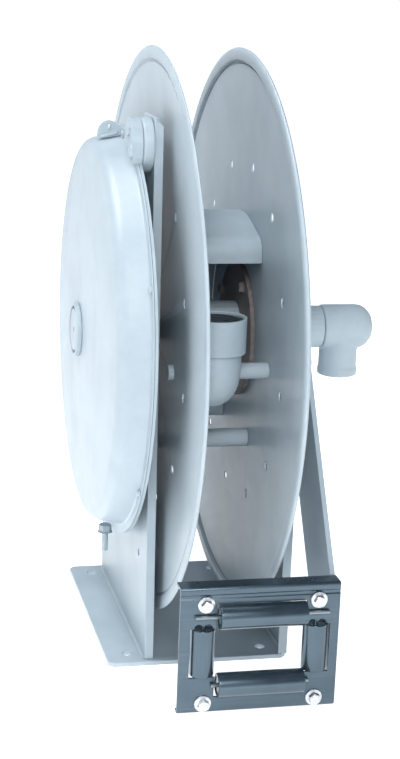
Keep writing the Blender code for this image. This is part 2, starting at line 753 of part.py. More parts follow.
def outlet_collar():
    """Threaded collar that takes the hose end, on top of the outlet elbow."""
    low = OUTLET_NECK_TOP + GAP
    skirt = low - COLLAR_OVERLAP
    socket = OUTLET_RADIUS + 2 * GAP
    r = COLLAR_RADIUS
    c = COLLAR_CHAMFER
    profile = [(COLLAR_BORE, COLLAR_TOP), (r - c, COLLAR_TOP), (r, COLLAR_TOP - c), (r, skirt + c)]
    profile += [(r - c, skirt), (socket, skirt), (socket, low), (COLLAR_BORE, low)]
    where = (OUTLET_X, -OUTLET_REACH, 0)
    return turned("outlet_collar", profile, painted("outlet_collar"), where, ALONG_Z, closed=True)


def spring_arbor():
    """Stepped shaft from the hub through the left bearing to the spring's inner end."""
    end = LEFT_DISC_X + SHEET
    spool_start = ARBOR_END + 0.003
    spool_end = spool_start + SPRING_WIDTH + 0.004
    profile = [(0, end), (ARBOR_RADIUS, end), (ARBOR_RADIUS, spool_end), (SPOOL_RADIUS, spool_end)]
    tail = ARBOR_RADIUS - 0.002
    profile += [(SPOOL_RADIUS, spool_start), (tail, spool_start), (tail, ARBOR_END), (0, ARBOR_END)]
    return turned("spring_arbor", profile, bright("spring_arbor"), AXLE)


def pawl_tip_angle():
    """The angle at which the thrown pawl's tip meets the wheel, from the top towards the front."""
    px, pz = PAWL_PIVOT
    dx = PAWL_TIP[0] - px
    dz = PAWL_TIP[1] - pz
    throw = math.radians(PAWL_THROW)
    y = px + dx * math.cos(throw) + dz * math.sin(throw)
    z = pz + dz * math.cos(throw) - dx * math.sin(throw)
    return math.degrees(math.atan2(-y, z - AXLE_HEIGHT))


def ratchet_wheel():
    """Toothed wheel fixed to the arbor beside the left web, with its stop faces against unwinding."""
    pitch = 360 / RATCHET_TEETH
    phase = pawl_tip_angle() + TOOTH_LEAD
    outline = []
    for tooth in range(RATCHET_TEETH):
        angle = phase + tooth * pitch
        for radius, offset in ((RATCHET_ROOT, -3.0), (RATCHET_RADIUS, 0.0), (RATCHET_RADIUS - 0.0004, 4.0)):
            y, z = polar(radius, angle + offset)
            outline.append((y, z - AXLE_HEIGHT))
    hole = circle((0, 0), ARBOR_RADIUS + GAP, 32)
    start = LEFT_DISC_X - 0.0145
    name = "ratchet_wheel"
    where = AXLE + Vector((start, 0, 0))
    return flat(name, outline, [hole], RATCHET_THICKNESS, bright(name), where, ALONG_X)


# ---------------------------------------------------------------- pawl


def pawl():
    """Lever that drops into the ratchet. It stands clear of the teeth at rest."""
    base_x = LEFT_DISC_X - 0.0145
    width = RATCHET_THICKNESS
    py, pz = PAWL_PIVOT
    tip_y = PAWL_TIP[0] - py
    tip_z = PAWL_TIP[1] - pz
    length = math.hypot(tip_y, tip_z)
    along = Vector((tip_y, tip_z)) / length
    across = Vector((-along.y, along.x))
    w = PAWL_NECK_WIDTH / 2
    arc = [math.radians(90 + 180 * i / 8) for i in range(9)]
    outline = [(0.009 * math.cos(a), 0.009 * math.sin(a)) for a in arc]
    outline += [(length - 0.010, -w), (length, -PAWL_TIP_WIDTH / 2)]
    outline += [(length, PAWL_TIP_WIDTH / 2), (length - 0.010, w)]
    outline = [tuple(along * u + across * v) for u, v in outline]
    hole = circle((0, 0), PAWL_PIN_RADIUS + RUNNING_CLEARANCE, 16)
    flat("pawl", outline, [hole], width, bright("pawl"), (base_x, py, pz), ALONG_X)
    seat = LEFT_WEB_X - GAP
    end = base_x + width + 0.0004
    profile = [(0, end + 0.002), (0.0065, end + 0.002), (0.0065, end), (PAWL_PIN_RADIUS, end)]
    profile += [(PAWL_PIN_RADIUS, seat), (0.008, seat), (0.008, seat - 0.005), (0, seat - 0.005)]
    turned("pawl_pin", profile, zinc("pawl_pin"), (0, py, pz), steps=16)


# ---------------------------------------------------------------- spring housing


def spring_cover():
    """Pressed dish over the power spring, with a narrow back flange and a low domed face."""
    back = COVER_BACK_X - GAP
    wall = COVER_RADIUS - COVER_FLANGE
    t = SHEET
    crease = COVER_CREASE_X
    face = COVER_FACE_X
    hole = PLUG_RADIUS - 0.006
    outer = [(COVER_RADIUS, back), (COVER_RADIUS, back - t), (wall + 0.001, back - t)]
    outer += [(wall - 0.001, back - t - 0.003), (COVER_CREASE_RADIUS + 0.001, crease + 0.004)]
    outer += [(COVER_CREASE_RADIUS - 0.0015, crease + 0.0005), (COVER_CREASE_RADIUS - 0.007, crease - 0.002)]
    outer += [(COVER_CREASE_RADIUS * 0.62, face + 0.0018), (hole, face)]
    inner = [(hole, face + t), (COVER_CREASE_RADIUS * 0.62, face + 0.0018 + t)]
    inner += [(COVER_CREASE_RADIUS - 0.008, crease - 0.002 + t)]
    inner += [(COVER_CREASE_RADIUS - 0.0035, crease + 0.005)]
    inner += [(wall - t - 0.001, back)]
    profile = outer + inner
    body = turned("spring_cover", profile, painted("spring_cover"), AXLE, steps=COVER_STEPS, closed=True)
    for number in range(COVER_SCREW_COUNT):
        y, z = cover_screw_place(number)
        through_hole(body, f"cover_hole_{number}", COVER_SCREW_HOLE, -DRILL, DRILL, (back, y, z), steps=12)
    return body


def cover_screw_place(number):
    circle_radius = COVER_RADIUS - COVER_FLANGE * 0.46
    return polar(circle_radius, COVER_SCREW_PHASE + number * 360 / COVER_SCREW_COUNT)


def cover_screws():
    """Pan-head screws around the dish's back flange."""
    seat = COVER_BACK_X - GAP - SHEET - GAP
    profile = [(0, 0.0056), (0.0019, 0.0056), (0.0019, 0), (0.0038, 0), (0.0036, -0.0014), (0.0024, -0.0028)]
    profile += [(0, -0.0030)]
    for number in range(COVER_SCREW_COUNT):
        y, z = cover_screw_place(number)
        name = f"cover_screw_{number + 1}"
        turned(name, profile, zinc(name), (seat, y, z), steps=12)


def back_plate():
    """Flat plate that closes the spring housing, with a rounded lobe for the upper standoff."""
    hole = circle((0, 0), ARBOR_RADIUS + RUNNING_CLEARANCE, 32)
    place_x = Vector((COVER_BACK_X, 0, 0))
    name = "spring_back_plate"
    edge = circle((0, 0), COVER_RADIUS, COVER_STEPS)
    plate = flat(name, edge, [hole], BACK_PLATE_THICKNESS, painted(name), AXLE + place_x, ALONG_X)
    boss = circle((STANDOFF_Y, STANDOFF_Z), STANDOFF_RADIUS, 32)
    start = COVER_BACK_X + BACK_PLATE_THICKNESS - LOBE_THICKNESS
    lobe = flat("back_plate_lobe", boss, [], LOBE_THICKNESS, None, (start, 0, 0), ALONG_X, CUTTERS)
    clear = start - LOBE_THICKNESS
    r = COVER_RADIUS + GAP
    room = rod("cover_room", r, clear, COVER_BACK_X, None, AXLE, ALONG_X, COVER_STEPS, CUTTERS)
    boolean(lobe, "DIFFERENCE", room)
    boolean(plate, "UNION", lobe)
    for number in range(COVER_SCREW_COUNT):
        where = (COVER_BACK_X, *cover_screw_place(number))
        through_hole(plate, f"plate_hole_{number}", COVER_SCREW_HOLE, -DRILL, DRILL, where, steps=12)
    for number, (y, z) in enumerate(LOBE_BOLTS):
        radius = LOBE_BOLT_RADIUS + BOLT_CLEARANCE
        through_hole(plate, f"lobe_hole_{number}", radius, -DRILL, DRILL, (COVER_BACK_X, y, z), steps=16)
    return plate


def cover_plug():
    """Round plug in the middle of the dish, with a turned groove and a small centre dimple."""
    back = COVER_FACE_X - GAP
    front = back - PLUG_HEIGHT
    neck = PLUG_RADIUS - 0.0065
    r = PLUG_RADIUS
    profile = [(0, back + 0.002), (neck, back + 0.002), (neck, back), (r, back), (r, front + 0.0015)]
    floor = front + 0.0015
    profile += [(r - 0.0015, front), (r - 0.006, front), (r - 0.006, floor), (r - 0.0085, floor)]
    profile += [(r - 0.0085, front), (0.0022, front), (0.0022, floor), (0, floor)]
    turned("cover_plug", profile, painted("cover_plug"), AXLE)


def cover_ear():
    """Half-round lifting ear on top of the dish, with a narrow eye."""
    near_y = EAR_Y + EAR_THICKNESS / 2
    left = EAR_X - EAR_RADIUS
    right = EAR_X + EAR_RADIUS - 0.001
    wall = COVER_RADIUS - COVER_FLANGE
    slope = (wall - COVER_CREASE_RADIUS) / (COVER_BACK_X - COVER_CREASE_X)

    def seat(x):
        radius = COVER_CREASE_RADIUS + slope * (x - COVER_CREASE_X) + 0.0022
        return AXLE_HEIGHT + math.sqrt(radius * radius - near_y * near_y) + GAP

    centre_z = seat(EAR_X) + 0.003
    arc = [math.radians(180 - 180 * i / 14) for i in range(15)]
    top = [(EAR_X + (EAR_RADIUS - 0.0005) * math.cos(a), centre_z + EAR_RADIUS * math.sin(a)) for a in arc]
    outline = [(left, seat(left)), *top, (right, seat(right))]
    corners = ((-1, -1), (1, -1), (1, 1), (-1, 1))
    eye = [(EAR_X + 0.0012 * sx, centre_z + 0.006 + 0.003 * sz) for sx, sz in corners]
    flat("cover_ear", outline, [eye], EAR_THICKNESS, painted("cover_ear"), (0, near_y, 0), ALONG_Y)


def standoff():
    """Fat round spacer between the housing's lobe and the upright's top, with two bolts through it."""
    start = COVER_BACK_X + BACK_PLATE_THICKNESS + GAP
    end = LEFT_WEB_X - GAP
    name = "top_standoff"
    body = rod(name, STANDOFF_RADIUS, start, end, painted(name), (0, STANDOFF_Y, STANDOFF_Z), steps=32)
    mesh = hex_bolt_mesh("lobe_bolt", LOBE_BOLT)
    mesh.materials.append(zinc("lobe_bolt"))
    seat = COVER_BACK_X + BACK_PLATE_THICKNESS - LOBE_THICKNESS - GAP
    for number, (y, z) in enumerate(LOBE_BOLTS, 1):
        radius = LOBE_BOLT_RADIUS + BOLT_CLEARANCE
        through_hole(body, f"standoff_hole_{number}", radius, -DRILL, DRILL, (start, y, z), steps=16)
        add_object(f"lobe_bolt_{number}", mesh, None, (seat, y, z), TOWARD_MINUS_X)


def anchor_bolt():
    """Spring anchor bolt that hangs under the dish, head up."""
    mesh = hex_bolt_mesh("anchor_bolt", ANCHOR_BOLT)
    mesh.materials.append(zinc("anchor_bolt"))
    head = ANCHOR_BOLT[1]
    top = AXLE_HEIGHT - COVER_RADIUS - head - ANCHOR_BOLT_STANDOFF
    add_object("anchor_bolt", mesh, None, (ANCHOR_BOLT_X, 0, top), ALONG_Z)


def power_spring():
    """Flat spiral spring between the spool and the dish wall."""
    inner_start = SPOOL_RADIUS + 0.0012
    count = SPRING_TURNS * 16
    pitch = (SPRING_OUTER_RADIUS - inner_start) / count
    inside = []
    outside = []
    for i in range(count + 1):
        angle = 2 * math.pi * i / 16
        radius = inner_start + pitch * i
        inside.append((radius * math.cos(angle), radius * math.sin(angle)))
        outside.append(((radius + SPRING_STRIP) * math.cos(angle), (radius + SPRING_STRIP) * math.sin(angle)))
    start = ARBOR_END + 0.005
    name = "power_spring"
    where = AXLE + Vector((start, 0, 0))
    flat(name, outside + inside[::-1], [], SPRING_WIDTH, bright(name), where, ALONG_X)


# ---------------------------------------------------------------- roller guide


def guide_window():
    """Corners of the cross-shaped opening that the four rollers sit in."""
    reach = ROLLER_RADIUS + ROLLER_CLEARANCE
    left = LEFT_ROLLER_X - reach
    right = RIGHT_ROLLER_X + reach
    inner_left = LEFT_ROLLER_X + ROLLER_RADIUS
    inner_right = RIGHT_ROLLER_X - ROLLER_RADIUS + ROLLER_CLEARANCE
    top = TOP_ROLLER_Z + reach
    bottom = BOTTOM_ROLLER_Z - reach
    high = TOP_ROLLER_Z - SLOT_TOP_DROP
    low = BOTTOM_ROLLER_Z + 0.0075
    relief = []
    for centre in (right - 0.68 * ROLLER_RADIUS, RIGHT_ROLLER_X - 0.36 * ROLLER_RADIUS):
        arc = [math.radians(180 * i / 6) for i in range(7)]
        relief += [(centre + RELIEF_RADIUS * math.cos(a), high + RELIEF_RADIUS * math.sin(a)) for a in arc]
    mirrored = []
    for centre in (LEFT_ROLLER_X + 0.36 * ROLLER_RADIUS, left + 0.68 * ROLLER_RADIUS):
        arc = [math.radians(180 * i / 6) for i in range(7)]
        mirrored += [(centre + RELIEF_RADIUS * math.cos(a), high + RELIEF_RADIUS * math.sin(a)) for a in arc]
    outline = [(inner_left, bottom), (inner_right, bottom), (inner_right, low), (right, low), (right, high)]
    outline += [*relief, (inner_right, high), (inner_right, top), (inner_left, top), (inner_left, high)]
    outline += [*mirrored, (left, high), (left, low), (inner_left, low)]
    return outline


def guide_bolt_places():
    left = GUIDE_LEFT + GUIDE_BOLT_LEFT_INSET
    right = GUIDE_RIGHT - GUIDE_BOLT_RIGHT_INSET
    heights = (GUIDE_BOLT_TOP_Z, GUIDE_BOLT_BOTTOM_Z)
    return [(x, z) for z in heights for x in (left, right)]


def guide_plate():
    """Dark steel plate with a folded top and bottom edge, a cross-shaped window and four bolt holes."""
    y = GUIDE_FRONT_Y
    back = y + GUIDE_FLANGE
    low_back = y + GUIDE_FLANGE * 0.5
    x0, x1, z0, z1 = GUIDE_LEFT, GUIDE_RIGHT, GUIDE_BOTTOM, GUIDE_TOP
    corners = [(x0, y, z0), (x1, y, z0), (x1, y, z1), (x0, y, z1), (x1, back, z1), (x0, back, z1)]
    corners += [(x0, low_back, z0), (x1, low_back, z0)]
    faces = [(0, 1, 2, 3), (3, 2, 4, 5), (1, 0, 6, 7)]
    plate = folded("guide_plate", corners, faces, GUIDE_THICKNESS, dark_steel("guide_plate"))
    window = flat("guide_window", guide_window(), [], 0.012, None, (0, y + 0.007, 0), ALONG_Y, CUTTERS)
    boolean(plate, "DIFFERENCE", window)
    for number, (x, z) in enumerate(guide_bolt_places()):
        radius = GUIDE_BOLT_RADIUS + BOLT_CLEARANCE
        through_hole(plate, f"guide_hole_{number}", radius, -DRILL / 2, DRILL / 2, (x, y, z), ALONG_Y, 16)
    return plate


def guide_bolts():
    """Zinc hexagon flange bolts at the guide's corners."""
    mesh = hex_bolt_mesh("guide_bolt", GUIDE_BOLT)
    mesh.materials.append(zinc("guide_bolt"))
    for number, (x, z) in enumerate(guide_bolt_places(), 1):
        add_object(f"guide_bolt_{number}", mesh, None, (x, GUIDE_FRONT_Y - GAP, z), ALONG_Y)


def rollers():
    """Four rollers, each turning on its own fixed rod."""
    front_y = GUIDE_FRONT_Y - ROD_RADIUS - GAP
    back_y = GUIDE_FRONT_Y + GUIDE_THICKNESS + ROD_RADIUS + GAP
    across = (LEFT_ROLLER_X + ROLLER_RADIUS + 0.002, RIGHT_ROLLER_X - ROLLER_RADIUS)
    upright = (BOTTOM_ROLLER_Z + ROLLER_RADIUS - 0.003, TOP_ROLLER_Z - ROLLER_RADIUS - 0.0008)
    layout = (
        ("top", ALONG_X, (0, front_y, TOP_ROLLER_Z), across, ROD_OVERHANG),
        ("bottom", ALONG_X, (0, front_y, BOTTOM_ROLLER_Z), across, SHORT_ROD_OVERHANG),
        ("left", ALONG_Z, (LEFT_ROLLER_X, back_y, 0), upright, UPRIGHT_ROD_OVERHANG),
        ("right", ALONG_Z, (RIGHT_ROLLER_X, back_y, 0), upright, UPRIGHT_ROD_OVERHANG),
    )
    for label, turn, where, (start, end), overhang in layout:
        name = f"roller_{label}"
        r = ROLLER_RADIUS
        bore = ROD_RADIUS + RUNNING_CLEARANCE
        profile = [(bore, end), (r - 0.001, end), (r, end - 0.001), (r, start + 0.001), (r - 0.001, start)]
        profile += [(bore, start)]
        middle = (start + end) / 2
        centred = [(radius, height - middle) for radius, height in profile]
        centre = Vector(where) + turn @ Vector((0, 0, middle))
        turned(name, centred, dark_steel(name), centre, turn, 20, closed=True)
        name = f"roller_rod_{label}"
        rod(name, ROD_RADIUS, start - overhang, end + overhang, bright(name), where, turn, 12)


def guide_arm():
    """Flat arm from the right upright down to the guide, with two feet behind the guide plate."""
    guide_back = GUIDE_FRONT_Y + GUIDE_THICKNESS + GAP
    under_flange = GUIDE_TOP - GUIDE_THICKNESS - GAP
    knee_y, knee_z = ARM_KNEE
    direction = (Vector(ARM_KNEE) - Vector(ARM_TOP)).normalized()
    sideways = Vector((-direction.y, direction.x)) * ARM_WIDTH
    back_top = Vector(ARM_TOP) + sideways
    outline = [ARM_TOP, (knee_y, knee_z), (knee_y, under_flange), (guide_back, under_flange)]
    outline += [(guide_back, 0.006), (guide_back + 0.013, 0.006), ARM_HEEL, tuple(back_top)]
    holes = [circle(place_yz, ARM_BOLT_RADIUS + BOLT_CLEARANCE) for place_yz in ARM_BOLTS]
    name = "guide_arm"
    arm = flat(name, outline, holes, ARM_THICKNESS, painted(name), (ARM_X, 0, 0), ALONG_X)
    bolts = guide_bolt_places()
    feet = ((bolts[1], TOP_ROLLER_Z - 0.0065, under_flange), (bolts[3], 0.006, BOTTOM_ROLLER_Z + 0.0030))
    for number, ((x, z), low, high) in enumerate(feet):
        right = ARM_X + ARM_THICKNESS / 2
        left = x - ARM_FOOT_WIDTH / 2
        outline = [(left, low), (right, low), (right, high), (left, high)]
        hole = circle((x, z), GUIDE_BOLT_RADIUS + BOLT_CLEARANCE)
        where = (0, guide_back + ARM_FOOT, 0)
        foot = flat(f"arm_foot_{number}", outline, [hole], ARM_FOOT, None, where, ALONG_Y, CUTTERS)
        boolean(arm, "UNION", foot)
    return arm


def arm_bolts():
    """Shouldered bolts that hold the arm off the right web."""
    head = ARM_X + ARM_THICKNESS + GAP
    r = ARM_BOLT_RADIUS
    nut = RIGHT_WEB_X - WEB_THICKNESS - 3 * GAP
    for number, (y, z) in enumerate(ARM_BOLTS, 1):
        web = RIGHT_WEB_X + GAP
        profile = [(0, head + 0.006), (0.0085, head + 0.006), (0.0095, head + 0.004), (0.0095, head)]
        profile += [(r, head), (r, ARM_X - GAP), (0.010, ARM_X - GAP), (0.010, web), (r, web)]
        profile += [(r, nut), (0.009, nut), (0.009, nut - 0.007), (0, nut - 0.007)]
        name = f"arm_bolt_{number}"
        turned(name, profile, zinc(name), (0, y, z), steps=12)


# ---------------------------------------------------------------- inlet swivel


def swivel_elbow():
    """Cast elbow that takes the supply from below. It turns on the inlet shaft's axis."""
    name = "swivel_elbow"
    r = SWIVEL_RADIUS
    start = SWIVEL_START
    end = SWIVEL_CENTRE + SWIVEL_LEG_RADIUS
    profile = [(0, end + 0.016), (0.010, end + 0.0145), (0.018, end + 0.010)]
    profile += [(SWIVEL_END_RADIUS, end + 0.002), (r, end - 0.004), (r, start + 0.002), (r - 0.002, start)]
    profile += [(0, start)]
    body = turned(name, profile, painted(name), AXLE, steps=24)
    leg_top = AXLE_HEIGHT - SWIVEL_MOUTH_Z
    leg_r = SWIVEL_LEG_RADIUS
    leg = [(0, leg_top), (leg_r, leg_top), (leg_r, 0.004), (leg_r - 0.001, 0), (0, 0)]
    mouth = (SWIVEL_CENTRE, 0, SWIVEL_MOUTH_Z)
    down = turned("swivel_leg", leg, None, mouth, ALONG_Z, 24, collection=CUTTERS)
    boolean(body, "UNION", down)
    through_hole(body, "swivel_bore", SWIVEL_BORE, start - 0.01, SWIVEL_CENTRE, AXLE, ALONG_X, 24)
    through_hole(body, "swivel_mouth", SWIVEL_BORE, -0.01, leg_top + 0.004, mouth, ALONG_Z, 24)
    return body


def swivel_collar():
    """Ring on the swivel's back that rides over the end of the inlet shaft."""
    start = INLET_SHAFT_END - 0.006
    end = SWIVEL_START - GAP
    bore = INLET_SHAFT_RADIUS + RUNNING_CLEARANCE
    stop = INLET_SHAFT_END + 0.002
    profile = [(SWIVEL_BORE, end), (STUB_RADIUS, end), (STUB_RADIUS, start), (bore, start), (bore, stop)]
    profile += [(SWIVEL_BORE, stop)]
    return turned("swivel_collar", profile, painted("swivel_collar"), AXLE, closed=True)


# ---------------------------------------------------------------- assembly


def build():
    """Make every sub-part."""
    base_plate()
    left_upright()
    right_upright()
    left_bearing()
    right_bearing()
    axis = drum_axis()
    hang(axis, *discs(), drum_shell(), *tie_tubes(), *outlet_braces(), hub_tube(), *hub_flange())
    hang(axis, outlet_elbow(), outlet_collar(), spring_arbor(), ratchet_wheel())
    pawl()
    spring_cover()
    cover_screws()
    back_plate()
    cover_plug()
    cover_ear()
    standoff()
    anchor_bolt()
    power_spring()
    guide_plate()
    guide_bolts()
    rollers()
    guide_arm()
    arm_bolts()
    hang(axis_of_swivel(), swivel_elbow(), swivel_collar())


def axis_of_swivel():
    """The empty that the swivel's pieces turn about."""
    empty = bpy.data.objects.new("swivel_axis", None)
    PARTS.objects.link(empty)
    empty.location = (SWIVEL_START, 0, AXLE_HEIGHT)
    bpy.context.view_layer.update()
    return empty


build()
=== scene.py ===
"""Looks of a spring-rewind fire hose reel, as an add-on with one operator for each group of pieces."""

import math

import bmesh
import bpy
from bpy.props import FloatProperty, FloatVectorProperty, IntProperty, PointerProperty
from mathutils import Matrix, Vector


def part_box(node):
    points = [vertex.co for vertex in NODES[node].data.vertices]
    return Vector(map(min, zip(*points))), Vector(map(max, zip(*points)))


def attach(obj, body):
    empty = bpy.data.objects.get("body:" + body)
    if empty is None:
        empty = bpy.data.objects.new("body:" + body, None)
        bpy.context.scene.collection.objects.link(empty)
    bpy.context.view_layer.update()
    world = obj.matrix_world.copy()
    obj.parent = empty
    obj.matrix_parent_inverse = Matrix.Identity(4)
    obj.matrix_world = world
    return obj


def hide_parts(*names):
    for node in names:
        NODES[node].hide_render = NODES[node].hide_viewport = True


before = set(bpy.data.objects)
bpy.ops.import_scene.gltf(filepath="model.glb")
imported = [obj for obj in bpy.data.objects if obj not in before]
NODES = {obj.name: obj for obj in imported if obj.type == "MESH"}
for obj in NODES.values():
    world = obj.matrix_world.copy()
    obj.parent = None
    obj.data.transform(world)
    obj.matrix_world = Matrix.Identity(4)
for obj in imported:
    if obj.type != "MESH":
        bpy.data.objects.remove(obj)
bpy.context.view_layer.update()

bl_info = {
    "name": "Fire Hose Reel",
    "version": (1, 0, 0),
    "blender": (4, 5, 0),
    "location": "View3D > Sidebar > Hose Reel",
    "description": "Builds the visible pieces, finishes and studio of a spring-rewind fire hose reel",
    "category": "Object",
}

# Each turn points a piece's own Z along the named axis.
TURN_X = Matrix(((0, 0, 1), (1, 0, 0), (0, 1, 0)))
TURN_MINUS_X = Matrix(((0, 0, -1), (0, 1, 0), (1, 0, 0)))
TURN_Y = Matrix(((1, 0, 0), (0, 0, -1), (0, 1, 0)))
TURN_Z = Matrix.Identity(3)
# Steps in a rounded corner, and metres in a millimetre.
ARC = 5
MM = 0.001


# ---------------------------------------------------------------- colours and sizes


def linear(hex_colour):
    """An sRGB hex colour as linear red, green and blue."""
    channels = [int(hex_colour[i : i + 2], 16) / 255 for i in (1, 3, 5)]
    return tuple(c / 12.92 if c <= 0.04045 else ((c + 0.055) / 1.055) ** 2.4 for c in channels)


def colour(name, description, hex_colour):
    """A colour property."""
    return FloatVectorProperty(
        name=name, description=description, default=linear(hex_colour), size=3, subtype="COLOR", min=0, max=1
    )


def size(name, description, metres):
    """A length property in metres."""
    return FloatProperty(
        name=name, description=description, default=metres, unit="LENGTH", subtype="DISTANCE", precision=4
    )


class ReelColours(bpy.types.PropertyGroup):
    """Colours of the reel's finishes and of the studio."""

    paint: colour("Paint", "Powder coat on the reel", "#AAB8C0")
    paint_shade: colour("Paint, low spots", "Powder coat where it lies a little thinner", "#A1AFB8")
    guide: colour("Guide steel", "Black-oxide steel of the roller guide", "#54646F")
    guide_shade: colour("Guide steel, dark", "Rolling marks in the guide's steel", "#495964")
    zinc: colour("Zinc", "Zinc plate on the bolts", "#D9DDE0")
    steel: colour("Steel", "Drawn steel of rods and spring", "#9AA5AC")
    # Brownish oxide priming, made dark enough to paint the shade that falls inside the drum on the hub flange
    # and the hub bolts.
    primer_and_shade: colour("Primer", "Oxide primer on the hub flange, inside the drum", "#6B6463")
    # Dark colour on the hose collar's cut thread, which paints the shade inside the collar's mouth.
    thread: colour("Thread", "Oiled bare iron of the hose collar's cut thread", "#3D454B")
    rubber: colour("Rubber", "Seal ring and centre pip of the housing's plug", "#2C3238")
    floor: colour("Floor", "Studio floor", "#FBFBFB")


class ReelSizes(bpy.types.PropertyGroup):
    """Sizes of the fine detail that the plain parts lack."""

    rim: size("Rim roll", "Width of the rolled rim on each reel side", 0.014)
    groove: size("Rim groove", "Depth of the line inside the rolled rim", 0.0026)
    bead: size("Weld bead", "Radius of a fillet weld", 0.0032)
    ripple: size("Weld ripple", "Spacing of the ripples along a weld", 0.0035)
    edge: size("Edge round", "Rounding of a sheet's cut edge", 0.0007)
    fold: size("Fold radius", "Outside radius of a folded edge", 0.0035)
    turns: IntProperty(
        name="Steps", description="Steps round a large turned piece", default=192, min=48, max=512
    )


def sizes():
    """The sizes set on the scene."""
    return bpy.context.scene.reel_sizes


def colours():
    """The colours set on the scene."""
    return bpy.context.scene.reel_colours


# ---------------------------------------------------------------- materials


def add_node(tree, kind, links=None, **settings):
    """Add a shader node, set its properties and sockets, and link its inputs from other nodes' outputs."""
    made = tree.nodes.new(kind)
    for key, value in settings.items():
        if hasattr(made, key):
            setattr(made, key, value)
        else:
            made.inputs[key.replace("_", " ")].default_value = value
    for socket, source in (links or {}).items():
        tree.links.new(source, made.inputs[socket])
    return made


def blank_material(name, **sockets):
    """A material with its Principled shader and that shader's plain sockets set."""
    mat = bpy.data.materials.new(name)
    mat.use_nodes = True
    shader = mat.node_tree.nodes["Principled BSDF"]
    for key, value in sockets.items():
        shader.inputs[key.replace("_", " ")].default_value = value
    return mat, mat.node_tree, shader


def ramp(tree, source, low, high, start, end):
    """Map a 0 to 1 pattern between two grey levels or two colours."""
    made = add_node(tree, "ShaderNodeValToRGB", {"Fac": source})
    made.color_ramp.elements[0].position = start
    made.color_ramp.elements[1].position = end
    for element, value in zip(made.color_ramp.elements, (low, high)):
        element.color = (*value, 1.0) if isinstance(value, tuple) else (value, value, value, 1.0)
    return made.outputs["Color"]


def per_metre(millimetres):
    """Texture scale that gives a feature of this size when coordinates are metres."""
    return 1 / (millimetres * MM)


def noise(tree, place, scale, detail, rough=0.5):
    """A noise pattern over these coordinates. The default roughness is Blender's own."""
    source = {"Vector": place}
    return add_node(tree, "ShaderNodeTexNoise", source, Scale=scale, Detail=detail, Roughness=rough)


def bump(tree, shader, pattern, strength, height):
    """Tilt a shader's normals by a pattern, as a relief of this height in metres."""
    source = {"Height": pattern.outputs["Fac"]}
    dent = add_node(tree, "ShaderNodeBump", source, Strength=strength, Distance=height)
    tree.links.new(dent.outputs["Normal"], shader.inputs["Normal"])


def powder_coat(name, peel_mm, peel_height, rough):
    """Baked polyester powder coat: a satin skin with faint orange peel and slow changes of thickness."""
    c = colours()
    mat, tree, shader = blank_material(name, IOR=1.5, Coat_Weight=0.05, Coat_Roughness=0.3)
    place = add_node(tree, "ShaderNodeTexCoord").outputs["Object"]
    film = noise(tree, place, per_metre(70), 3.0, 0.55)
    fine = noise(tree, place, per_metre(9), 4.0, 0.6)
    tone = ramp(tree, film.outputs["Fac"], tuple(c.paint_shade), tuple(c.paint), 0.32, 0.62)
    speck = ramp(tree, fine.outputs["Fac"], 0.965, 1.0, 0.35, 0.6)
    mixed = add_node(tree, "ShaderNodeMix", data_type="RGBA", blend_type="MULTIPLY")
    mixed.inputs["Factor"].default_value = 1.0
    tree.links.new(tone, mixed.inputs["A"])
    tree.links.new(speck, mixed.inputs["B"])
    tree.links.new(mixed.outputs["Result"], shader.inputs["Base Color"])
    gloss = ramp(tree, fine.outputs["Fac"], rough - 0.05, rough + 0.07, 0.3, 0.7)
    tree.links.new(gloss, shader.inputs["Roughness"])
    peel = noise(tree, place, per_metre(peel_mm), 2.0)
    bump(tree, shader, peel, 0.35, peel_height)
    return mat


def black_oxide(name, along, rough):
    """Cold-rolled steel with a blued black-oxide finish: dark, half glossy, with rolling streaks."""
    c = colours()
    mat, tree, shader = blank_material(name, Metallic=0.75, Coat_Weight=0.25, Coat_Roughness=0.2)
    place = add_node(tree, "ShaderNodeTexCoord").outputs["Object"]
    stretch = tuple(per_metre(60 if axis == along else 1.4) for axis in "XYZ")
    grain = add_node(tree, "ShaderNodeMapping", {"Vector": place}, Scale=stretch)
    streak = noise(tree, grain.outputs["Vector"], 1.0, 3.0)
    cloud = noise(tree, place, per_metre(26), 4.0)
    blended = add_node(tree, "ShaderNodeMath", operation="MULTIPLY")
    tree.links.new(streak.outputs["Fac"], blended.inputs[0])
    tree.links.new(cloud.outputs["Fac"], blended.inputs[1])
    tone = ramp(tree, blended.outputs["Value"], tuple(c.guide_shade), tuple(c.guide), 0.10, 0.42)
    tree.links.new(tone, shader.inputs["Base Color"])
    gloss = ramp(tree, cloud.outputs["Fac"], rough - 0.04, rough + 0.06, 0.35, 0.65)
    tree.links.new(gloss, shader.inputs["Roughness"])
    bump(tree, shader, streak, 0.12, 0.04 * MM)
    return mat


def zinc_plate(name):
    """Bright zinc plate on forged bolts: near-white metal with soft cloudy patches from the dip."""
    c = colours()
    mat, tree, shader = blank_material(name, Metallic=1.0)
    place = add_node(tree, "ShaderNodeTexCoord").outputs["Object"]
    cloud = noise(tree, place, per_metre(3.5), 4.0)
    bright = tuple(c.zinc)
    dull = tuple(0.72 * v for v in bright)
    tree.links.new(ramp(tree, cloud.outputs["Fac"], dull, bright, 0.3, 0.6), shader.inputs["Base Color"])
    tree.links.new(ramp(tree, cloud.outputs["Fac"], 0.36, 0.22, 0.3, 0.7), shader.inputs["Roughness"])
    bump(tree, shader, cloud, 0.3, 0.05 * MM)
    return mat


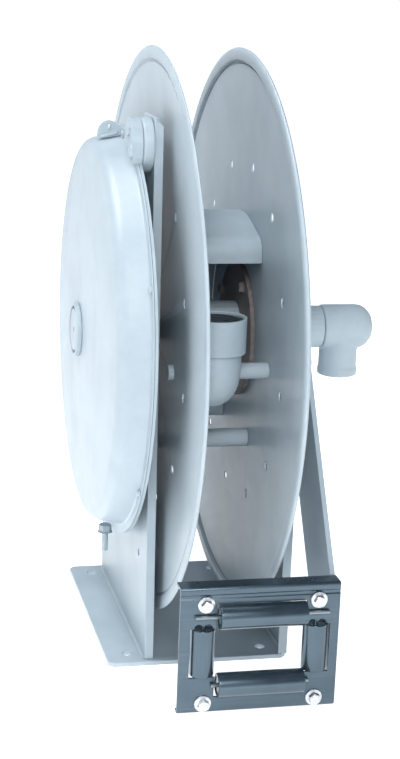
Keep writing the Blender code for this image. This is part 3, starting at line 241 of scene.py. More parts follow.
def drawn_steel(name, along):
    """Bare drawn steel: a grey metal with fine die lines along its length."""
    c = colours()
    mat, tree, shader = blank_material(name, Metallic=1.0)
    place = add_node(tree, "ShaderNodeTexCoord").outputs["Object"]
    stretch = tuple(per_metre(50 if axis == along else 0.9) for axis in "XYZ")
    grain = add_node(tree, "ShaderNodeMapping", {"Vector": place}, Scale=stretch)
    line = noise(tree, grain.outputs["Vector"], 1.0, 3.0)
    bright = tuple(c.steel)
    dull = tuple(0.7 * v for v in bright)
    tree.links.new(ramp(tree, line.outputs["Fac"], dull, bright, 0.3, 0.6), shader.inputs["Base Color"])
    tree.links.new(ramp(tree, line.outputs["Fac"], 0.4, 0.26, 0.3, 0.7), shader.inputs["Roughness"])
    bump(tree, shader, line, 0.25, 0.04 * MM)
    return mat


def dull_skin(name, tone, grain_mm, rough):
    """A dark dull surface with a faint bloom: nitrile rubber, brownish oxide priming whose darkness also
    paints the shade inside the drum, or the dark colour of a cut thread that paints the shade inside the
    collar's mouth.
    """
    mat, tree, shader = blank_material(name, IOR=1.5)
    place = add_node(tree, "ShaderNodeTexCoord").outputs["Object"]
    bloom = noise(tree, place, per_metre(grain_mm), 3.0)
    dark = tuple(tone)
    pale = tuple(1.5 * v for v in dark)
    tree.links.new(ramp(tree, bloom.outputs["Fac"], dark, pale, 0.35, 0.7), shader.inputs["Base Color"])
    gloss = ramp(tree, bloom.outputs["Fac"], rough, rough + 0.15, 0.3, 0.7)
    tree.links.new(gloss, shader.inputs["Roughness"])
    bump(tree, shader, bloom, 0.3, 0.06 * MM)
    return mat


FINISHES = {}


def finish(name):
    """The shared finish of this name, made the first time that it is asked for."""
    makers = {
        "powder_coated_sheet_steel": lambda n: powder_coat(n, 2.2, 0.10 * MM, 0.42),
        # The casting's sand grain is drawn at 2.5 mm, coarser than real, so that it shows.
        "powder_coated_sand_cast_iron": lambda n: powder_coat(n, 2.5, 0.30 * MM, 0.46),
        "powder_coated_weld": lambda n: powder_coat(n, 1.5, 0.20 * MM, 0.40),
        "black_oxide_rolled_sheet": lambda n: black_oxide(n, "X", 0.30),
        "black_oxide_turned_tube": lambda n: black_oxide(n, "Z", 0.20),
        "zinc_plated_forged_steel": zinc_plate,
        "moulded_nitrile_rubber": lambda n: dull_skin(n, colours().rubber, 4, 0.50),
        # Painted shade: this brownish finish is dark so that it stands in for the shade inside the drum on
        # the hub flange and hub bolts.
        "oxide_primer_and_painted_shade": lambda n: dull_skin(n, colours().primer_and_shade, 7, 0.55),
        # Painted shade: this dark finish on the collar's thread stands in for the shade inside the collar's
        # mouth.
        "dark_thread_painted_shade": lambda n: dull_skin(n, colours().thread, 3, 0.35),
        "drawn_steel_along_x": lambda n: drawn_steel(n, "X"),
        "drawn_steel_along_z": lambda n: drawn_steel(n, "Z"),
    }
    if name not in FINISHES:
        FINISHES[name] = makers[name](name)
    return FINISHES[name]


SHEET = "powder_coated_sheet_steel"
CAST = "powder_coated_sand_cast_iron"
WELD = "powder_coated_weld"
GUIDE = "black_oxide_rolled_sheet"
ROLLER = "black_oxide_turned_tube"
ZINC = "zinc_plated_forged_steel"
DRAWN_X = "drawn_steel_along_x"
DRAWN_Z = "drawn_steel_along_z"
RUBBER = "moulded_nitrile_rubber"
# Painted shade: the dark oxide priming on the hub flange and hub bolts stands in for the shade inside the
# drum.
PRIMER_AND_SHADE = "oxide_primer_and_painted_shade"
# Painted shade: the dark finish of the collar's cut thread stands in for the shade inside the collar's mouth.
THREAD_PAINTED_SHADE = "dark_thread_painted_shade"


# ---------------------------------------------------------------- shapes


def middle(node):
    """Centre of a CAD node's box."""
    low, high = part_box(node)
    return (low + high) / 2


def piece(name, mesh, finish_name, body, replaced=(), turn=TURN_Z, where=(0, 0, 0), sharp=32):
    """Link a mesh as a visible piece with a finish, let it ride on a body and stand for CAD nodes."""
    mesh.transform(Matrix.Translation(Vector(where)) @ turn.to_4x4())
    mesh.materials.clear()
    mesh.materials.append(finish(finish_name))
    mesh.shade_smooth()
    mesh.set_sharp_from_angle(angle=math.radians(sharp))
    obj = bpy.data.objects.new(name, mesh)
    bpy.context.scene.collection.objects.link(obj)
    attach(obj, body)
    if replaced:
        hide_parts(*replaced)
    return obj


def eased(points, radius, closed=True, steps=ARC):
    """Round the corners of an outline. A point may carry its own radius as a third number."""
    made = []
    count = len(points)
    for i, point in enumerate(points):
        here = Vector(point[:2])
        own = point[2] if len(point) > 2 else radius
        if own <= 0 or (not closed and i in (0, count - 1)):
            made.append(tuple(here))
            continue
        back = Vector(points[i - 1][:2]) - here
        ahead = Vector(points[(i + 1) % count][:2]) - here
        half = back.angle(ahead) / 2
        reach = min(own / math.tan(half), 0.49 * back.length, 0.49 * ahead.length)
        start = here + back.normalized() * reach
        end = here + ahead.normalized() * reach
        for k in range(steps + 1):
            t = k / steps
            made.append(tuple(start * (1 - t) ** 2 + here * 2 * t * (1 - t) + end * t * t))
    return made


def lathe(profile, steps=64):
    """Mesh of a (radius, height) profile spun about Z. A profile that leaves the axis is closed on itself."""
    shape = bmesh.new()
    rings = []
    for radius, height in profile:
        if radius < 1e-6:
            rings.append([shape.verts.new((0, 0, height))] * steps)
            continue
        angles = [2 * math.pi * i / steps for i in range(steps)]
        rings.append([shape.verts.new((radius * math.cos(a), radius * math.sin(a), height)) for a in angles])
    pairs = list(zip(rings, rings[1:]))
    if profile[0][0] > 1e-6:
        pairs.append((rings[-1], rings[0]))
    for low, high in pairs:
        for i in range(steps):
            j = (i + 1) % steps
            corners = list(dict.fromkeys((low[i], low[j], high[j], high[i])))
            if len(corners) > 2:
                shape.faces.new(corners)
    return meshed(shape)


def meshed(shape):
    """Turn a bmesh into a mesh with its faces outwards."""
    bmesh.ops.recalc_face_normals(shape, faces=shape.faces)
    mesh = bpy.data.meshes.new("shape")
    shape.to_mesh(mesh)
    shape.free()
    return mesh


def evaluated(obj):
    """A copy of an object's mesh with its modifiers applied. The object is removed."""
    bpy.context.view_layer.update()
    graph = bpy.context.evaluated_depsgraph_get()
    mesh = bpy.data.meshes.new_from_object(obj.evaluated_get(graph))
    bpy.data.objects.remove(obj, do_unlink=True)
    return mesh


def scratch(data):
    """A temporary object for a modifier to work on."""
    obj = bpy.data.objects.new("scratch", data)
    bpy.context.scene.collection.objects.link(obj)
    return obj


def sheet(outline, holes, thickness, edge):
    """Mesh of a flat outline with holes, from Z = 0 up to its thickness, with rounded cut edges."""
    curve = bpy.data.curves.new("outline", "CURVE")
    curve.dimensions = "2D"
    curve.fill_mode = "BOTH"
    curve.extrude = thickness / 2 - edge
    curve.bevel_depth = edge
    curve.offset = -edge
    curve.bevel_resolution = 2
    for loop in [outline, *holes]:
        spline = curve.splines.new("POLY")
        spline.points.add(len(loop) - 1)
        for point, (x, y) in zip(spline.points, loop):
            point.co = (x, y, 0, 1)
        spline.use_cyclic_u = True
    mesh = evaluated(scratch(curve))
    mesh.transform(Matrix.Translation((0, 0, thickness / 2)))
    return mesh


def cut(mesh, cutters, operation="DIFFERENCE"):
    """Combine other meshes with a mesh, with the exact solver. Each cutter is removed."""
    target = scratch(mesh)
    tools = []
    for tool_mesh in cutters:
        tool = scratch(tool_mesh)
        modifier = target.modifiers.new("Cut", "BOOLEAN")
        modifier.operation = operation
        modifier.solver = "EXACT"
        modifier.object = tool
        tools.append(tool)
    made = evaluated(target)
    for tool in tools:
        bpy.data.objects.remove(tool, do_unlink=True)
    return made


def drill(radius, start, end, turn, where, steps=32):
    """Mesh of a straight drill along a turned axis."""
    mesh = lathe([(0, start), (radius, start), (radius, end), (0, end)], steps)
    mesh.transform(Matrix.Translation(Vector(where)) @ turn.to_4x4())
    return mesh


def softened(mesh, voxel, passes):
    """Blend a rough union of solids into one smooth casting."""
    obj = scratch(mesh)
    remesh = obj.modifiers.new("Skin", "REMESH")
    remesh.mode = "VOXEL"
    remesh.voxel_size = voxel
    relax = obj.modifiers.new("Relax", "SMOOTH")
    relax.factor = 0.5
    relax.iterations = passes
    return evaluated(obj)


def joined(meshes):
    """One mesh that holds several."""
    shape = bmesh.new()
    for mesh in meshes:
        shape.from_mesh(mesh)
    made = bpy.data.meshes.new("joined")
    shape.to_mesh(made)
    shape.free()
    return made


def tube(points, radius, sides=32):
    """Mesh of a capped round bar along a smooth line. A list of radii gives one for each point."""
    shape = bmesh.new()
    count = len(points)
    radii = radius if isinstance(radius, list) else [radius] * count
    path = [Vector(p) for p in points]
    side = (path[1] - path[0]).orthogonal().normalized()
    rings = []
    for i, point in enumerate(path):
        ahead = (path[min(i + 1, count - 1)] - path[max(i - 1, 0)]).normalized()
        side = (side - ahead * side.dot(ahead)).normalized()
        other = ahead.cross(side)
        angles = [2 * math.pi * k / sides for k in range(sides)]
        spokes = [side * math.cos(a) + other * math.sin(a) for a in angles]
        rings.append([shape.verts.new(point + spoke * radii[i]) for spoke in spokes])
    for low, high in zip(rings, rings[1:]):
        for k in range(sides):
            j = (k + 1) % sides
            shape.faces.new((low[k], low[j], high[j], high[k]))
    shape.faces.new(rings[0])
    shape.faces.new(rings[-1])
    return meshed(shape)


def weld_bead(name, start, end, body, radius=None):
    """A rippled fillet weld between two points, which swells and thins as the torch was moved."""
    s = sizes()
    bead = radius or s.bead
    start = Vector(start)
    end = Vector(end)
    length = (end - start).length
    count = max(8, int(length / s.ripple * 4))
    points = []
    radii = []
    for i in range(count + 1):
        t = i / count
        along = t * length
        points.append(start.lerp(end, t))
        ends = min(1.0, 6 * t + 0.45, 6 * (1 - t) + 0.45)
        ripple = 1 + 0.07 * math.sin(2 * math.pi * along / s.ripple) + 0.08 * math.sin(along * 61)
        radii.append(bead * ends * ripple)
    return piece(name, tube(points, radii, 12), WELD, body, sharp=60)


def weld_ring(name, centre, radius, body, bead=None):
    """A rippled fillet weld round a tube whose axis is X."""
    s = sizes()
    thick = bead or s.bead
    steps = max(24, int(2 * math.pi * radius / s.ripple * 4))
    shape = bmesh.new()
    rings = []
    for i in range(steps):
        angle = 2 * math.pi * i / steps
        section = thick * (1 + 0.07 * math.sin(2 * math.pi * i / 4) + 0.06 * math.sin(5 * angle))
        out = Vector((0, math.cos(angle), math.sin(angle)))
        ring = []
        for k in range(10):
            turn = 2 * math.pi * k / 10
            offset = out * (radius + section * math.cos(turn)) + Vector((section * math.sin(turn), 0, 0))
            ring.append(shape.verts.new(Vector(centre) + offset))
        rings.append(ring)
    for i in range(steps):
        low, high = rings[i], rings[(i + 1) % steps]
        for k in range(10):
            j = (k + 1) % 10
            shape.faces.new((low[k], low[j], high[j], high[k]))
    return piece(name, meshed(shape), WELD, body, sharp=60)


def hexagon_bolt(across, head, washer_radius, washer, shank_radius, shank):
    """Mesh of a forged hexagon flange bolt, head up, seated at Z = 0, with a chamfered crown."""
    steps = 48
    flat = across / 2
    top = washer * 0.6 + head
    shape = bmesh.new()

    def hexagon(angle, scale=1.0):
        return scale * flat / math.cos((angle + math.pi / 6) % (math.pi / 3) - math.pi / 6)

    def ring(radius_at, height_at):
        made = []
        for i in range(steps):
            a = 2 * math.pi * i / steps
            r = radius_at(a)
            made.append(shape.verts.new((r * math.cos(a), r * math.sin(a), height_at(r))))
        return made

    rings = [
        ring(lambda a: shank_radius, lambda r: -shank),
        ring(lambda a: shank_radius, lambda r: 0),
        ring(lambda a: washer_radius, lambda r: 0),
        ring(lambda a: washer_radius, lambda r: washer * 0.35),
        ring(lambda a: washer_radius * 0.96, lambda r: washer * 0.6),
        ring(lambda a: hexagon(a, 1.03), lambda r: washer),
        ring(hexagon, lambda r: washer * 1.25),
        ring(hexagon, lambda r: top - (r - flat * 0.93) * 0.58),
        ring(lambda a: flat * 0.90, lambda r: top),
        ring(lambda a: flat * 0.72, lambda r: top - head * 0.04),
    ]
    for low, high in zip(rings, rings[1:]):
        for i in range(steps):
            j = (i + 1) % steps
            shape.faces.new((low[i], low[j], high[j], high[i]))
    shape.faces.new(rings[-1])
    shape.faces.new(rings[0])
    return meshed(shape)


def dress(names, finish_name, edge=0.0):
    """Give CAD nodes a finish, and round their edges where that shows."""
    for name in names:
        obj = NODES[name]
        obj.data.materials.clear()
        obj.data.materials.append(finish(finish_name))
        weld = obj.modifiers.new("Weld", "WELD")
        weld.merge_threshold = 0.00002
        if edge:
            bevel = obj.modifiers.new("Edge", "BEVEL")
            bevel.width = edge
            bevel.segments = 2
            bevel.limit_method = "ANGLE"
            bevel.angle_limit = math.radians(40)
            bevel.harden_normals = True


# ---------------------------------------------------------------- reel sides


def polar(radius, degrees):
    """(Y, Z) from the axle at a radius, with the angle counted from the top towards the front."""
    angle = math.radians(degrees)
    return -radius * math.sin(angle), radius * math.cos(angle)


AXLE = Vector((0, 0, middle("right_disc").z))
SHEET_STEEL = 0.0015
HUB_RADIUS = 0.0305

# Name, depth of the dish, radius of the hub's hole and height of the step at the bend line.
SIDES = (("left_disc", 0.0030, 0.0125, 0.0018), ("right_disc", 0.0065, 0.0205, 0.0003))
BEND_LINE_RADIUS = 0.196
HOLE_CIRCLE_RADIUS = 0.185
HOLE_RADIUS = 0.005
HOLE_COUNT = 12
FIRST_HOLE = 9.5
ROLL_WIDTH = 0.006
ROLL_STEPS = 16


class REEL_OT_sides(bpy.types.Operator):
    """Make both pressed reel sides with their rolled rims, bend lines and holes"""

    bl_idname = "reel.sides"
    bl_label = "Reel Sides"

    def execute(self, context):
        s = sizes()
        for name, dish, bore, step in SIDES:
            low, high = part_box(name)
            radius = (high.z - low.z) / 2 + 0.0002
            face = high.x
            plate = face - SHEET_STEEL
            rim_low = low.x + 0.001
            rim_high = plate - dish + SHEET_STEEL
            inner = radius - s.rim
            bend = BEND_LINE_RADIUS
            roll = (rim_high - rim_low) / 2
            profile = [(bore, face), (bend - 0.0022, face), (bend + 0.0016, face - step)]
            profile += [(inner - 0.012, rim_high - 0.0002), (inner, rim_high)]
            for i in range(ROLL_STEPS + 1):
                a = math.radians(90 - 180 * i / ROLL_STEPS)
                out = radius - ROLL_WIDTH + ROLL_WIDTH * math.cos(a)
                profile.append((out, rim_high - roll + roll * math.sin(a)))
            under = rim_high - SHEET_STEEL
            groove = under + s.groove * 0.4
            profile += [(inner + 0.002, rim_low + 0.0002), (inner + 0.0008, rim_low + 0.0008)]
            profile += [(inner, rim_low + 0.0026), (inner - 0.0006, groove)]
            profile += [(inner - 0.0024, groove), (inner - 0.0034, under - 0.0003)]
            profile += [(bend + 0.0022, plate - step), (bend - 0.0016, plate), (bore, plate)]
            mesh = lathe(profile, s.turns)
            drills = []
            for number in range(HOLE_COUNT):
                y, z = polar(HOLE_CIRCLE_RADIUS, FIRST_HOLE + 360 / HOLE_COUNT * number)
                drills.append(drill(HOLE_RADIUS, -0.02, 0.02, TURN_Z, (y, z, plate), 24))
            mesh = cut(mesh, [joined(drills)])
            obj = piece(f"{name}_pressing", mesh, SHEET, "drum", [name], TURN_X, AXLE, sharp=28)
        return {"FINISHED"}


# ---------------------------------------------------------------- drum, hub and outlet


# Angles in degrees from the top towards the front, and the front lip's sizes as parts of the drum's radius.
DRUM_LEAVE = 15
DRUM_SWEEP = 135
DRUM_STEPS = 72
LIP_REACH = 0.676
LIP_BEND = 0.13
LIP_HEIGHT = 0.172
DRUM_WELDS = (0, -30, -60, -88, -112)
DRUM_WELD_ARC = 8
DRUM_WELD_BEAD = 0.0022
BEND_STEPS = 16


def bent(first, corner, last):
    """Points along a smooth bend that starts and ends on the two legs of a corner."""
    made = []
    for i in range(BEND_STEPS + 1):
        t = i / BEND_STEPS
        made.append(first * (1 - t) ** 2 + corner * 2 * t * (1 - t) + last * t * t)
    return made


def drum_path(radius):
    """Y and Z along the drum sheet's outside: up its front lip, over the top and down the back."""
    slope = math.radians(DRUM_LEAVE)
    ahead = Vector((-math.cos(slope), -math.sin(slope)))
    leave = Vector((-radius * math.sin(slope), radius * math.cos(slope)))
    corner = leave + ahead * (LIP_REACH * radius + leave.x) / math.cos(slope)
    low = corner - Vector((0, LIP_BEND * radius))
    back = corner - ahead * LIP_BEND * radius
    path = [corner - Vector((0, LIP_HEIGHT * radius)), *bent(low, corner, back)]
    for i in range(DRUM_STEPS + 1):
        path.append(Vector(polar(radius, DRUM_LEAVE - DRUM_SWEEP * i / DRUM_STEPS)))
    return path


class REEL_OT_drum(bpy.types.Operator):
    """Make the open drum sheet, its spacer tubes, the hub and their welds"""

    bl_idname = "reel.drum"
    bl_label = "Drum and Hub"

    def execute(self, context):
        low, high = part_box("drum_shell")
        radius = high.z - AXLE.z
        thick = SHEET_STEEL
        path = drum_path(radius)
        outer = [tuple(point) for point in path]
        inner = []
        for i, point in enumerate(path):
            along = (path[min(i + 1, len(path) - 1)] - path[max(i - 1, 0)]).normalized()
            inner.append((point.x + along.y * thick, point.y - along.x * thick))
        mesh = sheet(outer + inner[::-1], [], high.x - low.x, 0.0006)
        piece("drum_sheet", mesh, SHEET, "drum", ["drum_shell"], TURN_X, AXLE + Vector((low.x, 0, 0)))
        for side, x in (("left", low.x + 0.001), ("right", high.x - 0.001)):
            for number, degrees in enumerate(DRUM_WELDS, 1):
                start = AXLE + Vector((x, *polar(radius - 0.003, degrees)))
                end = AXLE + Vector((x, *polar(radius - 0.003, degrees - DRUM_WELD_ARC)))
                weld_bead(f"drum_weld_{side}_{number}", start, end, "drum", DRUM_WELD_BEAD)
        for number in (1, 2):
            node = f"tie_tube_{number}"
            start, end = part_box(node)
            r = (end.z - start.z) / 2
            bore = r - 0.003
            mesh = lathe(eased([(bore, start.x), (r, start.x), (r, end.x), (bore, end.x)], 0.0008), 48)
            centre = middle(node)
            where = (0, centre.y, centre.z)
            piece(f"spacer_tube_{number}", mesh, SHEET, "drum", [node], TURN_X, where)
        dress(["hub_tube", "tie_rod_1", "tie_rod_2"], SHEET, 0.0005)
        # The hub flange's dark brownish finish paints the shade inside the drum.
        dress(["hub_flange"], PRIMER_AND_SHADE, 0.0005)
        hub_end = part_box("hub_tube")[0].x
        weld_ring("hub_weld_left", (hub_end + 0.001, 0, AXLE.z), HUB_RADIUS, "drum")
        return {"FINISHED"}


OUTLET_BEND = 0.030
OUTLET_BORE = 0.016
COLLAR_BORE = 0.0265
THREAD_STEP = 0.00115
THREAD_DEPTH = 0.0013
THREAD_COUNT = 18


class REEL_OT_outlet(bpy.types.Operator):
    """Make the cast outlet elbow, its hose collar and the two short braces"""

    bl_idname = "reel.outlet"
    bl_label = "Outlet"

    def execute(self, context):
        low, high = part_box("outlet_elbow")
        collar_low, collar_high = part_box("outlet_collar")
        r = (high.x - low.x) / 2
        front = low.y + r
        leg_z = low.z + r + 0.0005
        hub_z = high.z - r
        corner = Vector((0, front, leg_z))
        hub = Vector((0, -0.016, hub_z))
        back = (hub - corner).normalized()
        points = [hub, *bent(corner + back * OUTLET_BEND, corner, corner + Vector((0, 0, OUTLET_BEND)))]
        points.append(Vector((0, front, collar_low.z + 0.004)))
        body = tube(points, r - 0.0003, 40)
        saddle = drill(HUB_RADIUS, -0.06, 0.06, TURN_X, AXLE, 64)
        bore = tube([*points, points[-1] + Vector((0, 0, 0.02))], OUTLET_BORE, 32)
        piece("outlet_casting", cut(body, [saddle, bore]), CAST, "drum", ["outlet_elbow"], sharp=40)
        top = collar_high.z
        skirt = collar_low.z
        c = (collar_high.x - collar_low.x) / 2
        seat = skirt + 0.0023
        bore = COLLAR_BORE
        profile = [(bore, top - 0.0012), (bore + 0.0010, top), (c, top), (c, skirt), (r + 0.0006, skirt)]
        profile += [(r + 0.0006, seat), (bore, seat)]
        mesh = lathe(eased(profile, 0.0008), 96)
        where = (0, front, 0)
        piece("hose_collar_casting", mesh, CAST, "drum", ["outlet_collar"], TURN_Z, where)
        crests = []
        for i in range(THREAD_COUNT):
            crests.append((bore - 0.0001 - THREAD_DEPTH * (i % 2), top - 0.003 - THREAD_STEP * i))
        threads = [(bore + 0.0004, crests[0][1]), *crests, (bore + 0.0004, crests[-1][1])]
        # The thread's dark finish paints the shade inside the collar's mouth.
        piece("hose_collar_threads", lathe(threads, 64), THREAD_PAINTED_SHADE, "drum", (), TURN_Z, where)
        dress(["outlet_brace_left", "outlet_brace_right"], SHEET, 0.0006)
        return {"FINISHED"}


# ---------------------------------------------------------------- spring housing


COVER_BORE = 0.023
COVER_SHOULDER = 0.128
COVER_CREASE_OUTSIDE = 0.2067
COVER_CREASE_INSIDE = 0.2037
COVER_FLANGE = 0.010
CREASE_DEPTH = 0.007
SHOULDER_DEPTH = 0.0018
SEAL_MIDDLE = 0.0047
SEAL_RADIUS = 0.0014
SEAL_HEIGHT = 0.0011
SEAL_STEPS = 12


class REEL_OT_housing(bpy.types.Operator):
    """Make the dished spring cover, its back plate, plug and lifting ear"""

    bl_idname = "reel.housing"
    bl_label = "Spring Housing"

    def execute(self, context):
        s = sizes()
        low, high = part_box("spring_cover")
        radius = (high.z - low.z) / 2
        back = high.x
        face = low.x
        thick = SHEET_STEEL
        wall = radius - COVER_FLANGE
        crease = face + CREASE_DEPTH
        shoulder = face + SHOULDER_DEPTH
        outer = [(radius, back, 0.0006), (radius, back - thick, 0.0012), (wall, back - thick, 0.0030)]
        outer += [(COVER_CREASE_OUTSIDE, crease + 0.001, 0.016), (COVER_SHOULDER, shoulder, 0.09)]
        outer += [(0.030, face, 0.001), (COVER_BORE, face, 0)]
        inner = [(COVER_BORE, face + thick, 0), (COVER_SHOULDER, shoulder + thick, 0.09)]
        inner += [(COVER_CREASE_INSIDE, crease + 0.0035, 0.014), (wall - thick, back, 0.0005)]
        mesh = lathe(eased(outer + inner, 0, steps=12), s.turns)
        piece("spring_dish", mesh, SHEET, "frame", ["spring_cover"], TURN_X, AXLE, sharp=35)
        plug_low, plug_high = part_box("cover_plug")
        r = (plug_high.z - plug_low.z) / 2
        front = plug_low.x
        seat = front + 0.0055
        neck = r - 0.0065
        profile = [(0, seat + 0.002), (neck, seat + 0.002), (neck, seat)]
        profile += [(r, seat, 0.0004), (r, front, 0.0016)]
        groove = front + 0.0030
        profile += [(r - 0.0030, front, 0.0006), (r - 0.0032, groove, 0.0003), (r - 0.0062, groove, 0.0003)]
        profile += [(r - 0.0064, front + 0.0004, 0.0006), (0.0034, front + 0.0008, 0.0004)]
        profile += [(0.0028, front + 0.003, 0), (0, front + 0.003)]
        mesh = lathe(eased(profile, 0, closed=False), 96)
        piece("plug_casting", mesh, CAST, "frame", ["cover_plug"], TURN_X, AXLE, sharp=30)
        ring = []
        for i in range(SEAL_STEPS):
            a = 2 * math.pi * i / SEAL_STEPS
            ring.append((r - SEAL_MIDDLE + SEAL_RADIUS * math.cos(a), groove - SEAL_HEIGHT * math.sin(a)))
        piece("plug_seal", lathe(ring, 96), RUBBER, "frame", (), TURN_X, AXLE)
        dot = [(0, front + 0.0012), (0.0022, front + 0.0012), (0.0027, front + 0.0020), (0, front + 0.0024)]
        piece("plug_centre", lathe(dot, 32), RUBBER, "frame", (), TURN_X, AXLE)
        dress(["spring_back_plate", "cover_ear"], SHEET, 0.0007)
        ear_low, ear_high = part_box("cover_ear")
        for number, y in enumerate((ear_low.y, ear_high.y), 1):
            start = (ear_low.x + 0.003, y, ear_low.z + 0.001)
            end = (ear_high.x - 0.003, y, ear_low.z + 0.006)
            weld_bead(f"ear_weld_{number}", start, end, "frame", 0.002)
        return {"FINISHED"}


# ---------------------------------------------------------------- frame


UPRIGHT_THICKNESS = 0.003


class REEL_OT_frame(bpy.types.Operator):
    """Make the base and the uprights, with their welds, the standoff and the guide's arm"""

    bl_idname = "reel.frame"
    bl_label = "Base and Uprights"

    def execute(self, context):
        dress(["base_plate", "left_upright", "right_upright", "guide_arm"], SHEET, sizes().edge)
        dress(["left_bearing"], CAST, 0.0008)
        base_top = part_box("base_plate")[1].z
        left_low, left_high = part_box("left_upright")
        right_low, right_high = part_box("right_upright")
        left_inside = left_low.x + UPRIGHT_THICKNESS
        right_inside = right_high.x - UPRIGHT_THICKNESS
        welds = (
            ("left_foot_weld_outside", left_low.x, left_low.y + 0.003, left_high.y - 0.003),
            ("left_foot_weld_inside", left_inside, left_low.y + 0.012, left_high.y - 0.012),
            ("right_foot_weld_outside", right_high.x, right_low.y + 0.012, right_high.y - 0.004),
            ("right_foot_weld_inside", right_inside, right_low.y + 0.012, right_high.y - 0.004),
        )
        for name, x, front, back in welds:
            weld_bead(name, (x, front, base_top), (x, back, base_top), "frame")
        start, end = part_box("top_standoff")
        r = (end.y - start.y) / 2
        centre = middle("top_standoff")
        profile = [(0, start.x), (r, start.x, 0.0035), (r, end.x, 0.0020), (0, end.x)]
        mesh = lathe(eased(profile, 0, closed=False), 72)
        piece("standoff_block", mesh, CAST, "frame", ["top_standoff"], TURN_X, (0, centre.y, centre.z))
        return {"FINISHED"}


# ---------------------------------------------------------------- water inlet


BEARING_BORE = 0.0204
NECK_RADIUS = 0.029
SWIVEL_LEG_RADIUS = 0.0215
SWIVEL_LEG_X = 0.182
SWIVEL_BORE = 0.015


class REEL_OT_inlet(bpy.types.Operator):
    """Make the inlet bearing and the cast swivel elbow"""

    bl_idname = "reel.inlet"
    bl_label = "Water Inlet"

    def execute(self, context):
        low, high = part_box("right_bearing")
        r = (high.z - low.z) / 2
        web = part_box("right_upright")[1].x
        neck = NECK_RADIUS
        spigot = 0.027
        profile = [(BEARING_BORE, high.x), (neck, high.x, 0.002), (neck + 0.001, web + 0.008, 0.003)]
        profile += [(r, web + 0.0065, 0.002), (r, web + 0.0003, 0.0004)]
        profile += [(spigot, web + 0.0003, 0), (spigot, low.x, 0.001), (BEARING_BORE, low.x)]
        mesh = lathe(eased(profile, 0), 80)
        piece("inlet_bearing_casting", mesh, CAST, "frame", ["right_bearing"], TURN_X, AXLE)
        dress(["swivel_collar"], CAST, 0.0010)
        low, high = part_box("swivel_elbow")
        body_r = (high.y - low.y) / 2
        leg_r = SWIVEL_LEG_RADIUS
        leg_x = SWIVEL_LEG_X
        barrel_end = leg_x + leg_r
        barrel = [(0, low.x), (body_r - 0.001, low.x), (body_r, low.x + 0.002), (body_r, barrel_end - 0.004)]
        barrel += [(body_r * 0.97, barrel_end + 0.0015), (body_r * 0.86, barrel_end + 0.007)]
        barrel += [(body_r * 0.62, barrel_end + 0.0125), (body_r * 0.3, barrel_end + 0.0155), (0, high.x)]
        cast = lathe(barrel, 64)
        cast.transform(Matrix.Translation(AXLE) @ TURN_X.to_4x4())
        leg = [(0, low.z), (leg_r, low.z), (leg_r + 0.0008, low.z + 0.001), (leg_r + 0.0008, low.z + 0.008)]
        leg += [(leg_r, low.z + 0.010), (leg_r, AXLE.z), (0, AXLE.z)]
        down = lathe(leg, 64)
        down.transform(Matrix.Translation((leg_x, 0, 0)))
        mesh = cut(cast, [down], "UNION")
        mesh = softened(mesh, 0.0012, 4)
        bores = [drill(SWIVEL_BORE, low.x - 0.01, leg_x, TURN_X, AXLE, 48)]
        bores.append(drill(SWIVEL_BORE, low.z - 0.01, AXLE.z + 0.004, TURN_Z, (leg_x, 0, 0), 48))
        mesh = cut(mesh, bores)
        piece("swivel_casting", mesh, CAST, "inlet_swivel", ["swivel_elbow"], sharp=50)
        return {"FINISHED"}


# ---------------------------------------------------------------- roller guide


PLATE_THICKNESS = 0.003
ROLLER_CLEARANCE = 0.0015
RELIEF_RADIUS = 0.0048
RELIEF_FROM_EDGE = 0.0085
RELIEF_FROM_ROLLER = 0.0045
FOLD_RIDGE = 0.0009


def guide_window():
    """Corners, in X and Z, of the cross-shaped opening round the rollers, with its twin reliefs."""
    place = {label: middle(f"roller_{label}") for label in ("top", "bottom", "left", "right")}
    low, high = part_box("roller_top")
    r = (high.z - low.z) / 2
    reach = r + ROLLER_CLEARANCE
    left = place["left"].x - reach
    right = place["right"].x + reach
    near_left = place["left"].x + r
    near_right = place["right"].x - r + ROLLER_CLEARANCE
    top = place["top"].z + r + 0.0001
    bottom = place["bottom"].z - reach
    upper = place["top"].z - 0.0130
    lower = place["bottom"].z + 0.0075
    reliefs = []
    centres = (right - RELIEF_FROM_EDGE, place["right"].x - RELIEF_FROM_ROLLER)
    centres += (place["left"].x + RELIEF_FROM_ROLLER, left + RELIEF_FROM_EDGE)
    for centre in centres:
        arc = [math.radians(15 * i) for i in range(13)]
        spokes = [(RELIEF_RADIUS * math.cos(a), RELIEF_RADIUS * math.sin(a)) for a in arc]
        reliefs.append([(centre + across, upper + up) for across, up in spokes])
    outline = [(near_left, bottom), (near_right, bottom), (near_right, lower), (right, lower), (right, upper)]
    outline += [*reliefs[0], *reliefs[1], (near_right, upper), (near_right, top), (near_left, top)]
    outline += [(near_left, upper), *reliefs[2], *reliefs[3]]
    outline += [(left, upper), (left, lower), (near_left, lower)]
    return outline


